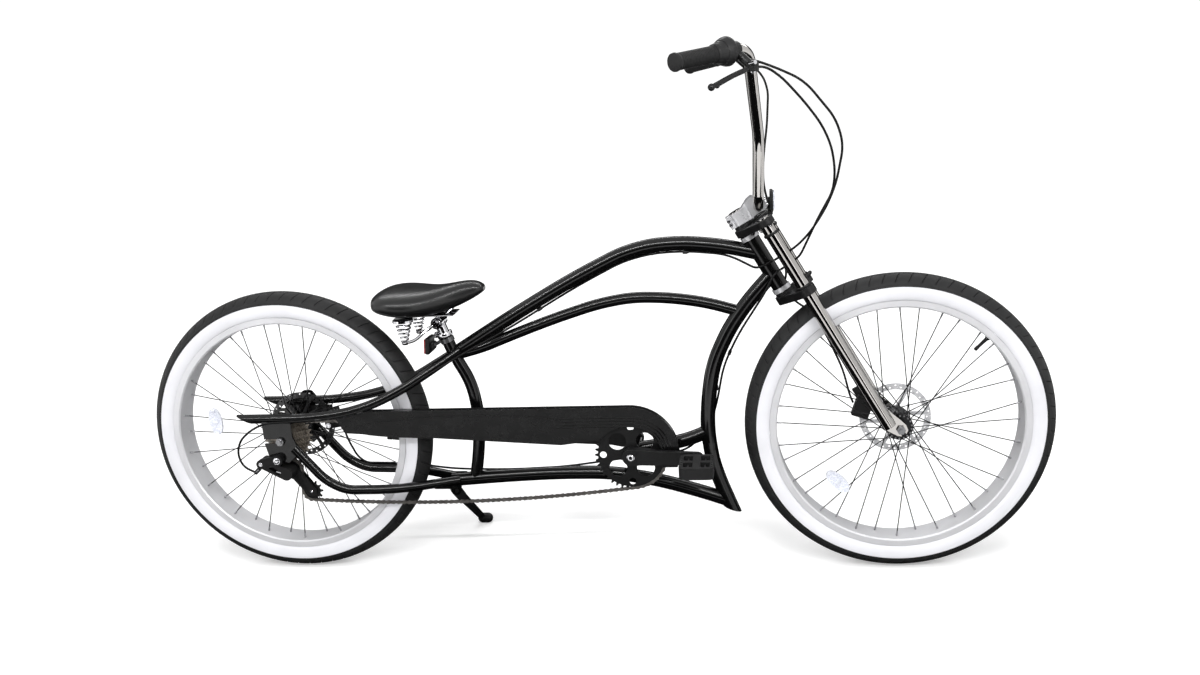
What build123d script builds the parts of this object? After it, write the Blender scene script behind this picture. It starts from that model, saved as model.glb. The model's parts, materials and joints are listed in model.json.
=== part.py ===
from build123d import *
import os
from math import asin, atan2, cos, degrees, hypot, pi, radians, sin, sqrt, tan

# Chopper cruiser bicycle, in millimetres.
# It is drawn upright: the rear axle is over the origin, +X is forward, +Y is the rider's left.
# At the end the whole bicycle leans over onto its kickstand, and the floor becomes z = 0.

# Clearances
FIT = 0.3            # between pieces that seat on each other
RUNNING = 0.1        # radial, a shaft in its bearing
SWEEP = 5.0          # a moving piece past a fixed one

# Wheels
WHEELBASE = 1420.0
TYRE_RADIUS = 342.0
TYRE_HEIGHT = 56.0   # from the rim's lip to the tread
TYRE_WIDTH = 76.0
TYRE_WALL = 4.0
RIM_WIDTH = 69.0
RIM_WALL = 2.5
RIM_DEPTH = 13.6     # from the rim's lip to its bed
SPOKES_PER_SIDE = 18
SPOKE_RADIUS = 1.2
SPOKE_CROSSES = 3
SPOKE_STAGGER = 1.4
RIM_HOLE_OFFSET = 12.0
FLANGE_THICKNESS = 4.0
FLANGE_RADIUS = 30.0
ROTOR_RADIUS = 80.0
ROTOR_BAND = 14.0
ROTOR_THICKNESS = 2.0
ROTOR_ARMS = 6
ROTOR_SEAT_RADIUS = 22.0
ROTOR_HOLES = 36
HUB_BODY_RADIUS = 17.0

# Front axle and hub
FRONT_AXLE_RADIUS = 4.8
FRONT_DROPOUT_GAP = 100.0
FRONT_LEFT_FLANGE = 27.0
FRONT_RIGHT_FLANGE = 34.0
FRONT_ROTOR_OFFSET = 38.0

# Rear axle and hub
REAR_AXLE_RADIUS = 5.0
REAR_DROPOUT_GAP = 148.0
REAR_LEFT_FLANGE = 40.0
REAR_RIGHT_FLANGE = 28.0
REAR_ROTOR_OFFSET = 58.0
DROPOUT_THICKNESS = 6.0
AXLE_NUT_HEIGHT = 7.0
AXLE_NUT_RADIUS = 10.0
AXLE_TIP = 5.0
LOCKNUT_LENGTH = 5.0
LOCKNUT_RADIUS = 9.0
COGS = (28, 24, 22, 20, 18, 16, 14)
COG_PITCH = 5.0
COG_THICKNESS = 1.8

# Steering and fork
HEAD_ANGLE = 30.0    # steering axis, from vertical
FORK_OFFSET = 63.0
LEG_SPREAD = 60.0
LEG_RADIUS = 15.0
LEG_X = -17.0        # the legs' line behind the front axle
LEG_RISE = 2.7       # above the upper clamp
STEERER_RADIUS = 14.3
HEAD_RADIUS = 18.5
HEAD_BORE = 16.5
HEAD_BOTTOM = 405.0  # along the steering axis, from the front axle
HEAD_LENGTH = 125.0
CUP_HEIGHT = 10.0
CUP_RADIUS = 21.0
CROWN_HEIGHT = 18.0
TOP_CLAMP_HEIGHT = 16.0
CLAMP_LIFT = 3.0     # washer under the upper clamp
CLAMP_BOSS = 8.0     # from the lower clamp up to its bearing seat
STEM_REACH = 50.0
STEM_GAP = 8.7       # above the upper clamp
STEM_LENGTH = 30.0
BAR_RADIUS = 11.1

# Frame tubes
TOP_TUBE_RADIUS = 16.0
ARCH_TUBE_RADIUS = 12.7
DOWN_TUBE_RADIUS = 17.0
BOTTOM_TUBE_RADIUS = 16.0
SEAT_TUBE_RADIUS = 14.3
SEAT_TUBE_BORE = 12.9
STAY_RADIUS = 11.0
STAY_SPREAD = 77.0
POST_RADIUS = 12.7
POST_ANGLE = 20.0

# Drive
RING_TEETH = 40
COG_TEETH = 20
PULLEY_TEETH = 11
TOOTH_TIP = 3.4
TOOTH_ROOT = 3.4
GUIDE_PULLEY = (8.0, 264.0)
TENSION_PULLEY = (50.0, 208.0)
HANGER = (-10.0, 298.0)
CHAIN_SAG = 19.0
CHAIN_PITCH = 12.7
CHAIN_LINE = 50.0
CHAIN_WIDTH = 7.0
CHAIN_PLATE = 1.0
CHAIN_HEIGHT = 8.4
CHAIN_WAIST = 6.4
RING_THICKNESS = 2.6
BB_X = 820.0
BB_Z = 290.0
BB_RADIUS = 20.0
BB_WIDTH = 73.0
SPINDLE_RADIUS = 8.5
CRANK_LENGTH = 152.0
CRANK_INNER = 68.0
CRANK_THICKNESS = 13.0
PEDAL_WIDTH = 95.0
PEDAL_LENGTH = 76.0
PEDAL_THICKNESS = 26.0
PEDAL_AXLE_RADIUS = 6.0

# Chain guard
GUARD_FACE = 62.5
GUARD_DEPTH = 19.0
GUARD_SHEET = 1.5
GUARD_TOP_RADIUS = 116.0
GUARD_END_RADIUS = 109.0
GUARD_END_ANGLE = -15.0
GUARD_BACK = 131.0

# Handlebar, with its left corners measured from its seat in the stem
BAR_STEPS = ((0, 52, 0), (3, 92, 145), (-16, 178, 328), (-151, 326, 304))
BAR_BENDS = (45, 220, 38)
GRIP_RADIUS = 16.0
GRIP_LENGTH = 100.0
SHIFTER_LENGTH = 46.0
SHIFTER_RADIUS = 28.0

# Kickstand
STAND_PIVOT = (370, 58, 168)
STAND_FOOT_X = 398.0
STAND_FOOT_SPREAD = 190.0
STAND_FOOT_RADIUS = 13.0
STAND_LEG_WIDTH = 20.0
STAND_LEG_THICKNESS = 9.0
STAND_YAW = 26.0     # the fold pin, from straight across the bicycle
STAND_TOE = 13.0
LEAN = 7.5

# Cables
CABLE_RADIUS = 2.5
CABLE_SEAT = CABLE_RADIUS + FIT

# Worked out from the sizes above
AXLE_Z = 342.0       # the axles above the drawing's z = 0
FLOOR_Z = AXLE_Z - TYRE_RADIUS
RIM_LIP_RADIUS = TYRE_RADIUS - TYRE_HEIGHT
RIM_BED_RADIUS = RIM_LIP_RADIUS - RIM_DEPTH
HEAD_X = -FORK_OFFSET
HEAD_TOP = HEAD_BOTTOM + HEAD_LENGTH
UPPER_SEAT = HEAD_TOP + CUP_HEIGHT + FIT
LOWER_SEAT = HEAD_BOTTOM - CUP_HEIGHT - FIT
UPPER_CLAMP_TOP = UPPER_SEAT + CLAMP_LIFT + TOP_CLAMP_HEIGHT
LOWER_CLAMP_TOP = LOWER_SEAT - CLAMP_BOSS
LEG_TOP = UPPER_CLAMP_TOP + LEG_RISE
STEM_HEIGHT = UPPER_CLAMP_TOP + STEM_GAP + STEM_LENGTH / 2
SPINDLE = (BB_X, 0, BB_Z)
RIGHT, LEFT = -1, 1


# ---------------------------------------------------------------- helpers

def rod(start, end, radius):
    """Round bar between two points."""
    run = Vector(*end) - Vector(*start)
    return Solid.make_cylinder(radius, run.length, Plane(origin=start, z_dir=run))


def across(x, z, start, end, radius):
    """Round bar across the bicycle at (x, z), from y = start to y = end."""
    return rod((x, min(start, end), z), (x, max(start, end), z), radius)


def route(points, share=0.45):
    """Straight runs joined by tangent arcs, each as large as its two runs allow."""
    corners = [Vector(*point) for point in points]
    radii = []
    for before, corner, after in zip(corners, corners[1:], corners[2:]):
        run_in = corner - before
        run_out = after - corner
        turn = radians(run_in.get_angle(run_out))
        radii.append(share * min(run_in.length, run_out.length) / tan(turn / 2))
    if not radii:
        return Line(*corners)
    return FilletPolyline(*corners, radius=radii)


def tube(points, radius):
    """Round bar along a route."""
    path = route(points)
    profile = Plane(origin=path @ 0, z_dir=path % 0) * Circle(radius)
    return sweep(profile, path=path)


def turned(*points):
    """Solid of revolution about the Y axis, from (radius, y) points."""
    return revolve(make_face(Polyline(*points, close=True)), Axis.Y)


def slab(outline, start, end):
    """Flat plate from a face drawn in X and Z, between two values of y."""
    low = min(start, end)
    placed = Plane(origin=(0, low, 0), x_dir=(1, 0, 0), z_dir=(0, -1, 0)) * outline
    return extrude(placed, amount=-abs(end - start))


def box(low, high):
    """Rectangular block between two corners."""
    size = [b - a for a, b in zip(low, high)]
    middle = [(a + b) / 2 for a, b in zip(low, high)]
    return Pos(*middle) * Box(*size)


def other_side(shape):
    """The same piece on the other side of the bicycle."""
    return mirror(shape, about=Plane.XZ)


def steered(x, y, z):
    """Point from fork coordinates: forward of the axle, to the left, and up the steering axis."""
    up = (-sin(radians(HEAD_ANGLE)), cos(radians(HEAD_ANGLE)))
    out = (cos(radians(HEAD_ANGLE)), sin(radians(HEAD_ANGLE)))
    return (WHEELBASE + x * out[0] + z * up[0], y, AXLE_Z + x * out[1] + z * up[1])


def on_fork(shape):
    """Place a piece drawn in fork coordinates."""
    plane = Plane(
        origin=(WHEELBASE, 0, AXLE_Z),
        x_dir=(cos(radians(HEAD_ANGLE)), 0, sin(radians(HEAD_ANGLE))),
        z_dir=(-sin(radians(HEAD_ANGLE)), 0, cos(radians(HEAD_ANGLE))),
    )
    return plane.location * shape


def upright(x, y, low, high, radius):
    """Round bar along the steering axis, in fork coordinates."""
    return rod((x, y, low), (x, y, high), radius)


# ---------------------------------------------------------------- wheels

def tyre():
    half = TYRE_WIDTH / 2
    centre = TYRE_RADIUS - half
    inner = half - TYRE_WALL
    seat = RIM_BED_RADIUS + FIT
    lip = RIM_LIP_RADIUS + FIT
    bead = RIM_WIDTH / 2 - RIM_WALL - FIT
    flank = sqrt(half ** 2 - (centre - lip) ** 2)
    toe = bead - TYRE_WALL
    ledge = centre - sqrt(inner ** 2 - toe ** 2)
    outline = Polyline((ledge, toe), (seat, toe), (seat, bead), (lip, bead), (lip, flank))
    outline += ThreePointArc((lip, flank), (TYRE_RADIUS, 0), (lip, -flank))
    outline += Polyline((lip, -flank), (lip, -bead), (seat, -bead), (seat, -toe), (ledge, -toe))
    outline += ThreePointArc((ledge, -toe), (centre + inner, 0), (ledge, toe))
    return revolve(make_face(outline), Axis.Y)


def rim():
    half = RIM_WIDTH / 2
    low = RIM_BED_RADIUS - RIM_WALL
    corner = 3.0
    return turned(
        (RIM_LIP_RADIUS, half), (low + corner, half), (low, half - corner),
        (low, corner - half), (low + corner, -half), (RIM_LIP_RADIUS, -half),
        (RIM_LIP_RADIUS, RIM_WALL - half), (RIM_BED_RADIUS, RIM_WALL - half),
        (RIM_BED_RADIUS, half - RIM_WALL), (RIM_LIP_RADIUS, half - RIM_WALL),
    )


def spoke(flange_y, side, index, half_turn):
    """One hexagonal wire from a hub flange to the rim, leaning forward or back in turn."""
    step = 360 / SPOKES_PER_SIDE
    lead = 1 if index % 2 else -1
    start_angle = radians(index * step + half_turn)
    end_angle = start_angle + lead * radians(SPOKE_CROSSES * step)
    start_radius = FLANGE_RADIUS - 3 * SPOKE_RADIUS
    end_radius = RIM_BED_RADIUS - RIM_WALL - FIT
    start_y = flange_y + lead * SPOKE_STAGGER
    end_y = side * RIM_HOLE_OFFSET + lead * SPOKE_STAGGER
    start = Vector(start_radius * cos(start_angle), start_y, start_radius * sin(start_angle))
    end = Vector(end_radius * cos(end_angle), end_y, end_radius * sin(end_angle))
    profile = Plane(origin=start, z_dir=end - start) * RegularPolygon(SPOKE_RADIUS, 6)
    return extrude(profile, amount=(end - start).length)


def hub(left_flange, right_flange, half_width, bore, rotor_seat, drive_seat):
    """Hub shell with two flanges and its spokes, fused. The flanges are distances from the middle."""
    edge = FLANGE_THICKNESS / 2
    shell = turned(
        (bore, half_width), (LOCKNUT_RADIUS + 4, half_width),
        (LOCKNUT_RADIUS + 4, rotor_seat), (ROTOR_SEAT_RADIUS, rotor_seat),
        (ROTOR_SEAT_RADIUS, left_flange + edge), (FLANGE_RADIUS, left_flange + edge),
        (FLANGE_RADIUS, left_flange - edge), (HUB_BODY_RADIUS, left_flange - edge - 6),
        (HUB_BODY_RADIUS, edge + 6 - right_flange), (FLANGE_RADIUS, edge - right_flange),
        (FLANGE_RADIUS, -edge - right_flange), (HUB_BODY_RADIUS, -edge - right_flange),
        (HUB_BODY_RADIUS, -drive_seat), (LOCKNUT_RADIUS + 4, -drive_seat),
        (LOCKNUT_RADIUS + 4, -half_width), (bore, -half_width),
    )
    step = 360 / SPOKES_PER_SIDE
    wires = []
    for index in range(SPOKES_PER_SIDE):
        wires.append(spoke(left_flange, LEFT, index, 0))
        wires.append(spoke(-right_flange, RIGHT, index, step / 2))
    return shell + wires


def rotor(offset):
    """Brake disc on the hub's left side, its inner face on the rotor seat."""
    def disc(outer, inner):
        ring = across(0, 0, offset, offset + ROTOR_THICKNESS, outer)
        return ring - across(0, 0, offset - 1, offset + ROTOR_THICKNESS + 1, inner)

    band = disc(ROTOR_RADIUS, ROTOR_RADIUS - ROTOR_BAND)
    centre = disc(ROTOR_SEAT_RADIUS + 6, LOCKNUT_RADIUS + 4 + FIT)
    arms = []
    for index in range(ROTOR_ARMS):
        arm = box((ROTOR_SEAT_RADIUS + 3, offset, -4), (ROTOR_RADIUS - 8, offset + ROTOR_THICKNESS, 4))
        arms.append(Rot(0, index * 360 / ROTOR_ARMS, 0) * (Pos(0, 0, 9) * arm))
    holes = []
    for index in range(ROTOR_HOLES):
        angle = 2 * pi * index / ROTOR_HOLES
        radius = ROTOR_RADIUS - ROTOR_BAND * (0.34 if index % 2 else 0.66)
        holes.append(across(radius * cos(angle), radius * sin(angle), offset - 1,
                            offset + ROTOR_THICKNESS + 1, ROTOR_BAND * 0.16))
    return band + centre + arms - holes


def axle(radius, half_gap, dropout):
    """Fixed axle: locknuts inside the dropouts, nuts outside them and a tip past each nut."""
    inner = half_gap - LOCKNUT_LENGTH
    nut_start = half_gap + dropout
    nut_end = nut_start + AXLE_NUT_HEIGHT
    shaft = across(0, 0, -(nut_end + AXLE_TIP), nut_end + AXLE_TIP, radius)
    for side in (LEFT, RIGHT):
        shaft += across(0, 0, side * inner, side * half_gap, LOCKNUT_RADIUS)
        nut = RegularPolygon(AXLE_NUT_RADIUS, 6)
        shaft += slab(nut, side * nut_start, side * nut_end)
    return shaft


def pitch_radius(teeth):
    return CHAIN_PITCH / (2 * sin(pi / teeth))


def sprocket(teeth, thickness):
    """Toothed disc about the Y axis, centred on y = 0."""
    root = pitch_radius(teeth) - TOOTH_ROOT
    tip = pitch_radius(teeth) + TOOTH_TIP
    points = []
    for index in range(teeth):
        for share, radius in ((-0.30, root), (-0.10, tip), (0.10, tip), (0.30, root)):
            angle = 2 * pi * (index + share) / teeth
            points.append((radius * cos(angle), radius * sin(angle)))
    return slab(make_face(Polyline(*points, close=True)), -thickness / 2, thickness / 2)


def cog_y(index):
    """Each cog's place across the bicycle; the middle one is on the chain line."""
    return -CHAIN_LINE - (index - len(COGS) // 2) * COG_PITCH


def freewheel(bore):
    """Seven cogs on one body, the largest nearest the spokes."""
    body_start = cog_y(0) + COG_PITCH / 2
    body_end = cog_y(len(COGS) - 1) - COG_PITCH / 2
    body = across(0, 0, body_start, body_end, HUB_BODY_RADIUS + 4)
    for index, teeth in enumerate(COGS):
        body += Pos(0, cog_y(index), 0) * sprocket(teeth, COG_THICKNESS)
    return body - across(0, 0, body_start + 1, body_end - 1, bore)


# ---------------------------------------------------------------- frame

def from_front(*corners):
    """Corners on the middle plane, given from the front axle's x."""
    return [(WHEELBASE + x, 0, z) for x, z in corners]


def from_rear(*corners):
    """Corners on the middle plane, given from the rear axle's x."""
    return [(x, 0, z) for x, z in corners]


TOP_TUBE_ROUTE = [*from_front((-305, 737), (-380, 755), (-465, 765), (-540, 762), (-605, 746)),
                  *from_rear((700, 691), (560, 613), (408, 522))]
ARCH_TUBE_ROUTE = [*from_front((-335, 603), (-420, 629), (-500, 642), (-585, 646), (-665, 633)),
                   *from_rear((650, 601), (550, 565), (480, 538), (420, 523))]
DOWN_TUBE_ROUTE = from_front((-260, 705), (-327, 632), (-372, 568), (-409, 489), (-422, 410),
                             (-427, 335), (-417, 258), (-400, 203), (-365, 115))
BOTTOM_TUBE_ROUTE = [*from_rear((382, 214), (500, 223), (640, 230), (770, 229)),
                     *from_front((-537, 208), (-435, 177), (-351, 147))]
SEAT_TUBE_ROUTE = from_rear((393, 574), (413, 520), (447, 455), (459, 375), (452, 290), (436, 205))
BB_TUBE_ROUTE = [*from_rear((822, 287), (895, 296), (955, 310)), *from_front((-408, 335))]
SEAT_STAY_ROUTE = ((-99, 77, 397), (70, 77, 397), (160, 76, 407), (228, 70, 425), (300, 61, 458),
                   (362, 46, 495), (428, 12, 535))
CHAIN_STAY_ROUTE = ((30, 77, 324), (95, 77, 245), (143, 77, 219), (270, 72, 218), (400, 10, 217))


def head_tube():
    body = upright(HEAD_X, 0, HEAD_BOTTOM, HEAD_TOP, HEAD_RADIUS)
    bore = upright(HEAD_X, 0, HEAD_BOTTOM - 1, HEAD_TOP + 1, HEAD_BORE)
    return on_fork(body - bore)


def head_core():
    """The whole round of the head tube and its cups, for cutting what meets it."""
    core = upright(HEAD_X, 0, HEAD_BOTTOM, HEAD_TOP, HEAD_RADIUS)
    core += upright(HEAD_X, 0, HEAD_BOTTOM - 60, HEAD_BOTTOM, CUP_RADIUS)
    core += upright(HEAD_X, 0, HEAD_TOP, HEAD_TOP + 60, CUP_RADIUS)
    return on_fork(core)


def headset_cups():
    """Bearing cups, one at each end of the head tube."""
    lower = upright(HEAD_X, 0, HEAD_BOTTOM - CUP_HEIGHT, HEAD_BOTTOM, CUP_RADIUS)
    upper = upright(HEAD_X, 0, HEAD_TOP, HEAD_TOP + CUP_HEIGHT, CUP_RADIUS)
    bore = upright(HEAD_X, 0, HEAD_BOTTOM - 2 * CUP_HEIGHT, HEAD_TOP + 2 * CUP_HEIGHT,
                   STEERER_RADIUS + RUNNING)
    return on_fork(lower - bore), on_fork(upper - bore)


def frame_tubes():
    """The tubes on the middle plane, each cut to fit the one that it is welded to."""
    head = head_core()
    bottom_line = route(BOTTOM_TUBE_ROUTE)
    floor_point = bottom_line @ 1
    floor_way = bottom_line % 1
    under = Plane(
        origin=floor_point + Vector(floor_way.Z, 0, -floor_way.X) * BOTTOM_TUBE_RADIUS,
        z_dir=(floor_way.Z, 0, -floor_way.X),
    )
    down = tube(DOWN_TUBE_ROUTE, DOWN_TUBE_RADIUS) - head
    down = split(down, bisect_by=under, keep=Keep.BOTTOM)
    seat = tube(SEAT_TUBE_ROUTE, SEAT_TUBE_RADIUS)
    top = tube(TOP_TUBE_ROUTE, TOP_TUBE_RADIUS) - head - seat
    arch = tube(ARCH_TUBE_ROUTE, ARCH_TUBE_RADIUS) - down - seat - tube(TOP_TUBE_ROUTE, TOP_TUBE_RADIUS)
    down_line = route(DOWN_TUBE_ROUTE)
    front_way = down_line % 1
    ahead = Plane(origin=down_line @ 1, z_dir=(-front_way.Z, 0, front_way.X))
    bottom = tube(BOTTOM_TUBE_ROUTE, BOTTOM_TUBE_RADIUS)
    bottom = split(bottom, bisect_by=ahead, keep=Keep.BOTTOM) - tube(DOWN_TUBE_ROUTE, DOWN_TUBE_RADIUS)
    seat = seat - tube(BOTTOM_TUBE_ROUTE, BOTTOM_TUBE_RADIUS)
    post_start = Vector(*SEAT_TUBE_ROUTE[0])
    post_way = Vector(-sin(radians(POST_ANGLE)), 0, cos(radians(POST_ANGLE)))
    seat = seat - rod(post_start - post_way * 70, post_start + post_way * 40, SEAT_TUBE_BORE)
    bb = tube(BB_TUBE_ROUTE, BOTTOM_TUBE_RADIUS) - down
    bb = bb - across(BB_X, BB_Z, -BB_WIDTH, BB_WIDTH, BB_RADIUS)
    return down, biggest(top), biggest(arch), biggest(bottom), biggest(seat), biggest(bb)


def biggest(shape):
    """The main solid of a cut, without its offcuts."""
    return max(shape.solids(), key=lambda solid: solid.volume)


def bb_shell():
    body = across(BB_X, BB_Z, -BB_WIDTH / 2, BB_WIDTH / 2, BB_RADIUS)
    return body - across(BB_X, BB_Z, -BB_WIDTH, BB_WIDTH, SPINDLE_RADIUS + RUNNING)


def seat_stay(seat, top):
    """Left seat stay with its tail, slash-cut to a point behind the axle."""
    body = tube(SEAT_STAY_ROUTE, STAY_RADIUS) - seat - top
    tail = Vector(*SEAT_STAY_ROUTE[0])
    slash = Plane(origin=tail + Vector(0, 0, STAY_RADIUS - 2), z_dir=(-0.5, 0, -0.9))
    return biggest(split(body, bisect_by=slash, keep=Keep.BOTTOM))


def tail_eye():
    """Small arched loop that stands on the left tail."""
    x, y, z = 12.0, STAY_SPREAD, SEAT_STAY_ROUTE[0][2] + STAY_RADIUS - 1.5
    outline = make_face(Polyline((x - 22, z), (x - 13, z + 13), (x - 8, z + 15.5), (x + 8, z + 15.5),
                                 (x + 13, z + 13), (x + 22, z), close=True))
    window = make_face(Polyline((x - 10, z + 3.5), (x - 7, z + 9), (x + 7, z + 9), (x + 10, z + 3.5),
                                close=True))
    return biggest(slab(outline - window, y - 3, y + 3) - tube(SEAT_STAY_ROUTE, STAY_RADIUS))


def dropout():
    """Left rear dropout: a plate under the tail, open to the back for the axle."""
    inner = REAR_DROPOUT_GAP / 2
    top = SEAT_STAY_ROUTE[0][2]
    outline = make_face(Polyline((-42, top), (-40, 335), (-33, 304), (14, 288), (44, 314), (29, 352),
                                 (29, top), close=True))
    slot = make_face(Polyline((-60, AXLE_Z - REAR_AXLE_RADIUS - FIT), (6, AXLE_Z - REAR_AXLE_RADIUS - FIT),
                              (6, AXLE_Z + REAR_AXLE_RADIUS + FIT), (-60, AXLE_Z + REAR_AXLE_RADIUS + FIT),
                              close=True))
    plate = slab(outline - slot, inner, inner + DROPOUT_THICKNESS)
    return biggest(plate - tube(SEAT_STAY_ROUTE, STAY_RADIUS))


def chain_stay(bottom, plate):
    """Left chain stay, cut to the dropout and the bottom tube."""
    body = tube(CHAIN_STAY_ROUTE, STAY_RADIUS) - tube(BOTTOM_TUBE_ROUTE, BOTTOM_TUBE_RADIUS)
    return biggest(body - plate)


# ---------------------------------------------------------------- seat

POST_START = Vector(*SEAT_TUBE_ROUTE[0])
POST_WAY = Vector(-sin(radians(POST_ANGLE)), 0, cos(radians(POST_ANGLE)))
POST_RISE = 30.0
SADDLE_ROOF = 656.0
SPRING_X = 316.0
SPRING_SPREAD = 58.0
SPRING_FOOT = 562.0
SPRING_FOOT_RADIUS = 7.0
SPRING_TOP_RADIUS = 23.0
RAIL_RADIUS = 4.0
REFLECTOR = (364, 0, 548)
BAND_DROP = 16.0


def seatpost(frame):
    """Post with a cross clamp that is cut to the saddle's rails."""
    start = POST_START - POST_WAY * 60
    end = POST_START + POST_WAY * POST_RISE
    post = rod(start, end, POST_RADIUS)
    clamp = across(end.X, end.Z, -24, 24, 13)
    return post + clamp - frame


def saddle():
    """Wide sprung saddle as a loft of rounded sections from the tail to the nose."""
    stations = ((248, 104, 630, 672), (270, 200, 624, 682), (312, 226, 621, 689), (365, 190, 620, 688),
                (415, 112, 626, 692), (455, 72, 640, 697), (488, 52, 655, 689))
    sections = []
    for x, width, low, high in stations:
        middle = (low + high) / 2
        profile = RectangleRounded(width, high - low, min(width, high - low) * 0.42)
        sections.append(Plane(origin=(x, 0, middle), x_dir=(0, 1, 0), z_dir=(1, 0, 0)) * profile)
    hollow = box((288, -86, 600), (346, 86, SADDLE_ROOF)) + box((346, -62, 600), (388, 62, SADDLE_ROOF))
    hollow += box((388, -24, 600), (446, 24, SADDLE_ROOF))
    return loft(sections) - hollow


def saddle_frame():
    """Two conical springs under the rear of the saddle and the rails that run forward from them."""
    height = SADDLE_ROOF - SPRING_FOOT
    clamp = POST_START + POST_WAY * POST_RISE
    nose = (clamp.X + 52, SADDLE_ROOF - RAIL_RADIUS)
    parts = across(*nose, -16, 16, RAIL_RADIUS)
    for side in (LEFT, RIGHT):
        spot = (SPRING_X, side * SPRING_SPREAD, SPRING_FOOT)
        parts += Solid.make_cone(SPRING_FOOT_RADIUS, SPRING_TOP_RADIUS, height, Plane(origin=spot))
        parts += tube(((*spot[:2], SPRING_FOOT + RAIL_RADIUS), (SPRING_X + 34, side * 44, SPRING_FOOT + 12),
                       (clamp.X, side * 19, clamp.Z), (nose[0], side * 13, nose[1])), RAIL_RADIUS)
    return parts


def rear_reflector():
    """Red reflector behind the seat tube on a clamp band."""
    x, _, z = REFLECTOR
    way = Vector(-sin(radians(POST_ANGLE)), 0, cos(radians(POST_ANGLE)))
    middle = Vector(*SEAT_TUBE_ROUTE[0]) - way * BAND_DROP
    band = rod(middle - way * 6, middle + way * 6, SEAT_TUBE_RADIUS + 3)
    arm = box((x, -6, middle.Z - 5), (middle.X, 6, middle.Z + 5))
    panel = box((x - 16, -24, z - 19), (x, 24, z + 19))
    return band + arm - rod(middle - way * 50, middle + way * 50, SEAT_TUBE_RADIUS) + panel


# ---------------------------------------------------------------- fork and steering

def link(start, start_radius, end, end_radius):
    """Flat arm between two round eyes: the eyes and the straight flanks that touch both."""
    run = Vector(end[0] - start[0], end[1] - start[1])
    way = atan2(run.Y, run.X)
    turn = asin((start_radius - end_radius) / run.length)
    corners = []
    for centre, radius, side in ((start, start_radius, 1), (end, end_radius, 1),
                                 (end, end_radius, -1), (start, start_radius, -1)):
        angle = way + side * (pi / 2 - turn)
        corners.append((centre[0] + radius * cos(angle), centre[1] + radius * sin(angle)))
    arm = make_face(Polyline(*corners, close=True))
    return arm + Pos(*start) * Circle(start_radius) + Pos(*end) * Circle(end_radius)


def triple_clamp(low, high, boss_low, boss_high):
    """Clamp that holds both fork legs and the steerer."""
    plan = link((HEAD_X, 0), 24, (LEG_X, LEG_SPREAD), LEG_RADIUS + 6)
    plan += link((HEAD_X, 0), 24, (LEG_X, -LEG_SPREAD), LEG_RADIUS + 6)
    body = extrude(Plane.XY.offset(low) * plan, amount=high - low)
    body += upright(HEAD_X, 0, boss_low, boss_high, STEERER_RADIUS + 5)
    for side in (LEFT, RIGHT):
        body -= upright(LEG_X, side * LEG_SPREAD, low - 1, high + 1, LEG_RADIUS)
    body -= upright(HEAD_X, 0, boss_low - 1, boss_high + 1, STEERER_RADIUS)
    return body


def lower_clamp():
    low = LOWER_CLAMP_TOP - CROWN_HEIGHT
    return on_fork(triple_clamp(low, LOWER_CLAMP_TOP, low, LOWER_SEAT))


def upper_clamp():
    low = UPPER_SEAT + CLAMP_LIFT
    return on_fork(triple_clamp(low, UPPER_CLAMP_TOP, UPPER_SEAT, STEM_HEIGHT - STEM_LENGTH / 2))


def fork_leg():
    """Left fork leg with its dropout tab, in fork coordinates."""
    tab_start = FRONT_DROPOUT_GAP / 2
    leg = upright(LEG_X, LEG_SPREAD, 20, LEG_TOP, LEG_RADIUS)
    outline = make_face(Polyline((LEG_X - 13, 48), (LEG_X - 9, 12), (-13, -9), (-6, -14), (6, -14),
                                 (13, -9), (15, 3), (11, 18), (LEG_X + 13, 60), close=True))
    slot_half = FRONT_AXLE_RADIUS + FIT
    slot = make_face(Polyline((-slot_half, 2), (slot_half, 2), (slot_half, -20), (-slot_half, -20), close=True))
    slot += Pos(0, 2) * Circle(slot_half)
    tab = slab(outline - Pos(0, -2) * slot, tab_start, tab_start + DROPOUT_THICKNESS)
    return leg + tab


def fork_legs():
    leg = fork_leg()
    return on_fork(leg), on_fork(other_side(leg))


def steerer():
    low = LOWER_CLAMP_TOP - CROWN_HEIGHT
    return on_fork(upright(HEAD_X, 0, low, STEM_HEIGHT + STEM_LENGTH / 2 + 2, STEERER_RADIUS))


def stem():
    """Silver block stem: a split clamp round the steerer and a capped clamp round the bar."""
    reach = STEM_REACH + HEAD_X
    mid = STEM_HEIGHT
    half = STEM_LENGTH / 2
    side = make_face(Polyline(
        (HEAD_X - 24, mid - half), (HEAD_X - 24, mid + half), (HEAD_X + 14, mid + half),
        (reach - 16, mid + half + 10), (reach - 4, mid + half + 12), (reach + 14, mid + half),
        (reach + 17, mid - 10), (reach + 4, mid - half - 3), (HEAD_X + 20, mid - half), close=True))
    body = slab(side, -25, 25)
    waist = link((HEAD_X, 0), 19, (reach, 0), 25) + Pos(HEAD_X - 12, 0) * Rectangle(24, 28)
    waist += Pos(reach, 0) * Rectangle(44, 50)
    body = body & extrude(Plane.XY.offset(mid - 40) * waist, amount=80)
    body -= upright(HEAD_X, 0, mid - 40, mid + 40, STEERER_RADIUS)
    body -= box((HEAD_X - 40, -1.5, mid - 40), (HEAD_X, 1.5, mid + 40))
    return on_fork(body) - handlebar()


BAR_SEAT = Vector(*steered(HEAD_X + STEM_REACH, 0, STEM_HEIGHT))
BAR_CORNERS = [BAR_SEAT + Vector(*step) for step in BAR_STEPS]
BAR_TOP, BAR_END = BAR_CORNERS[-2:]


def bar_points():
    """Corners of the handlebar's line, from the left end to the right end."""
    right = [(corner.X, -corner.Y, corner.Z) for corner in BAR_CORNERS]
    return [*reversed(BAR_CORNERS), *right]


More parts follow.
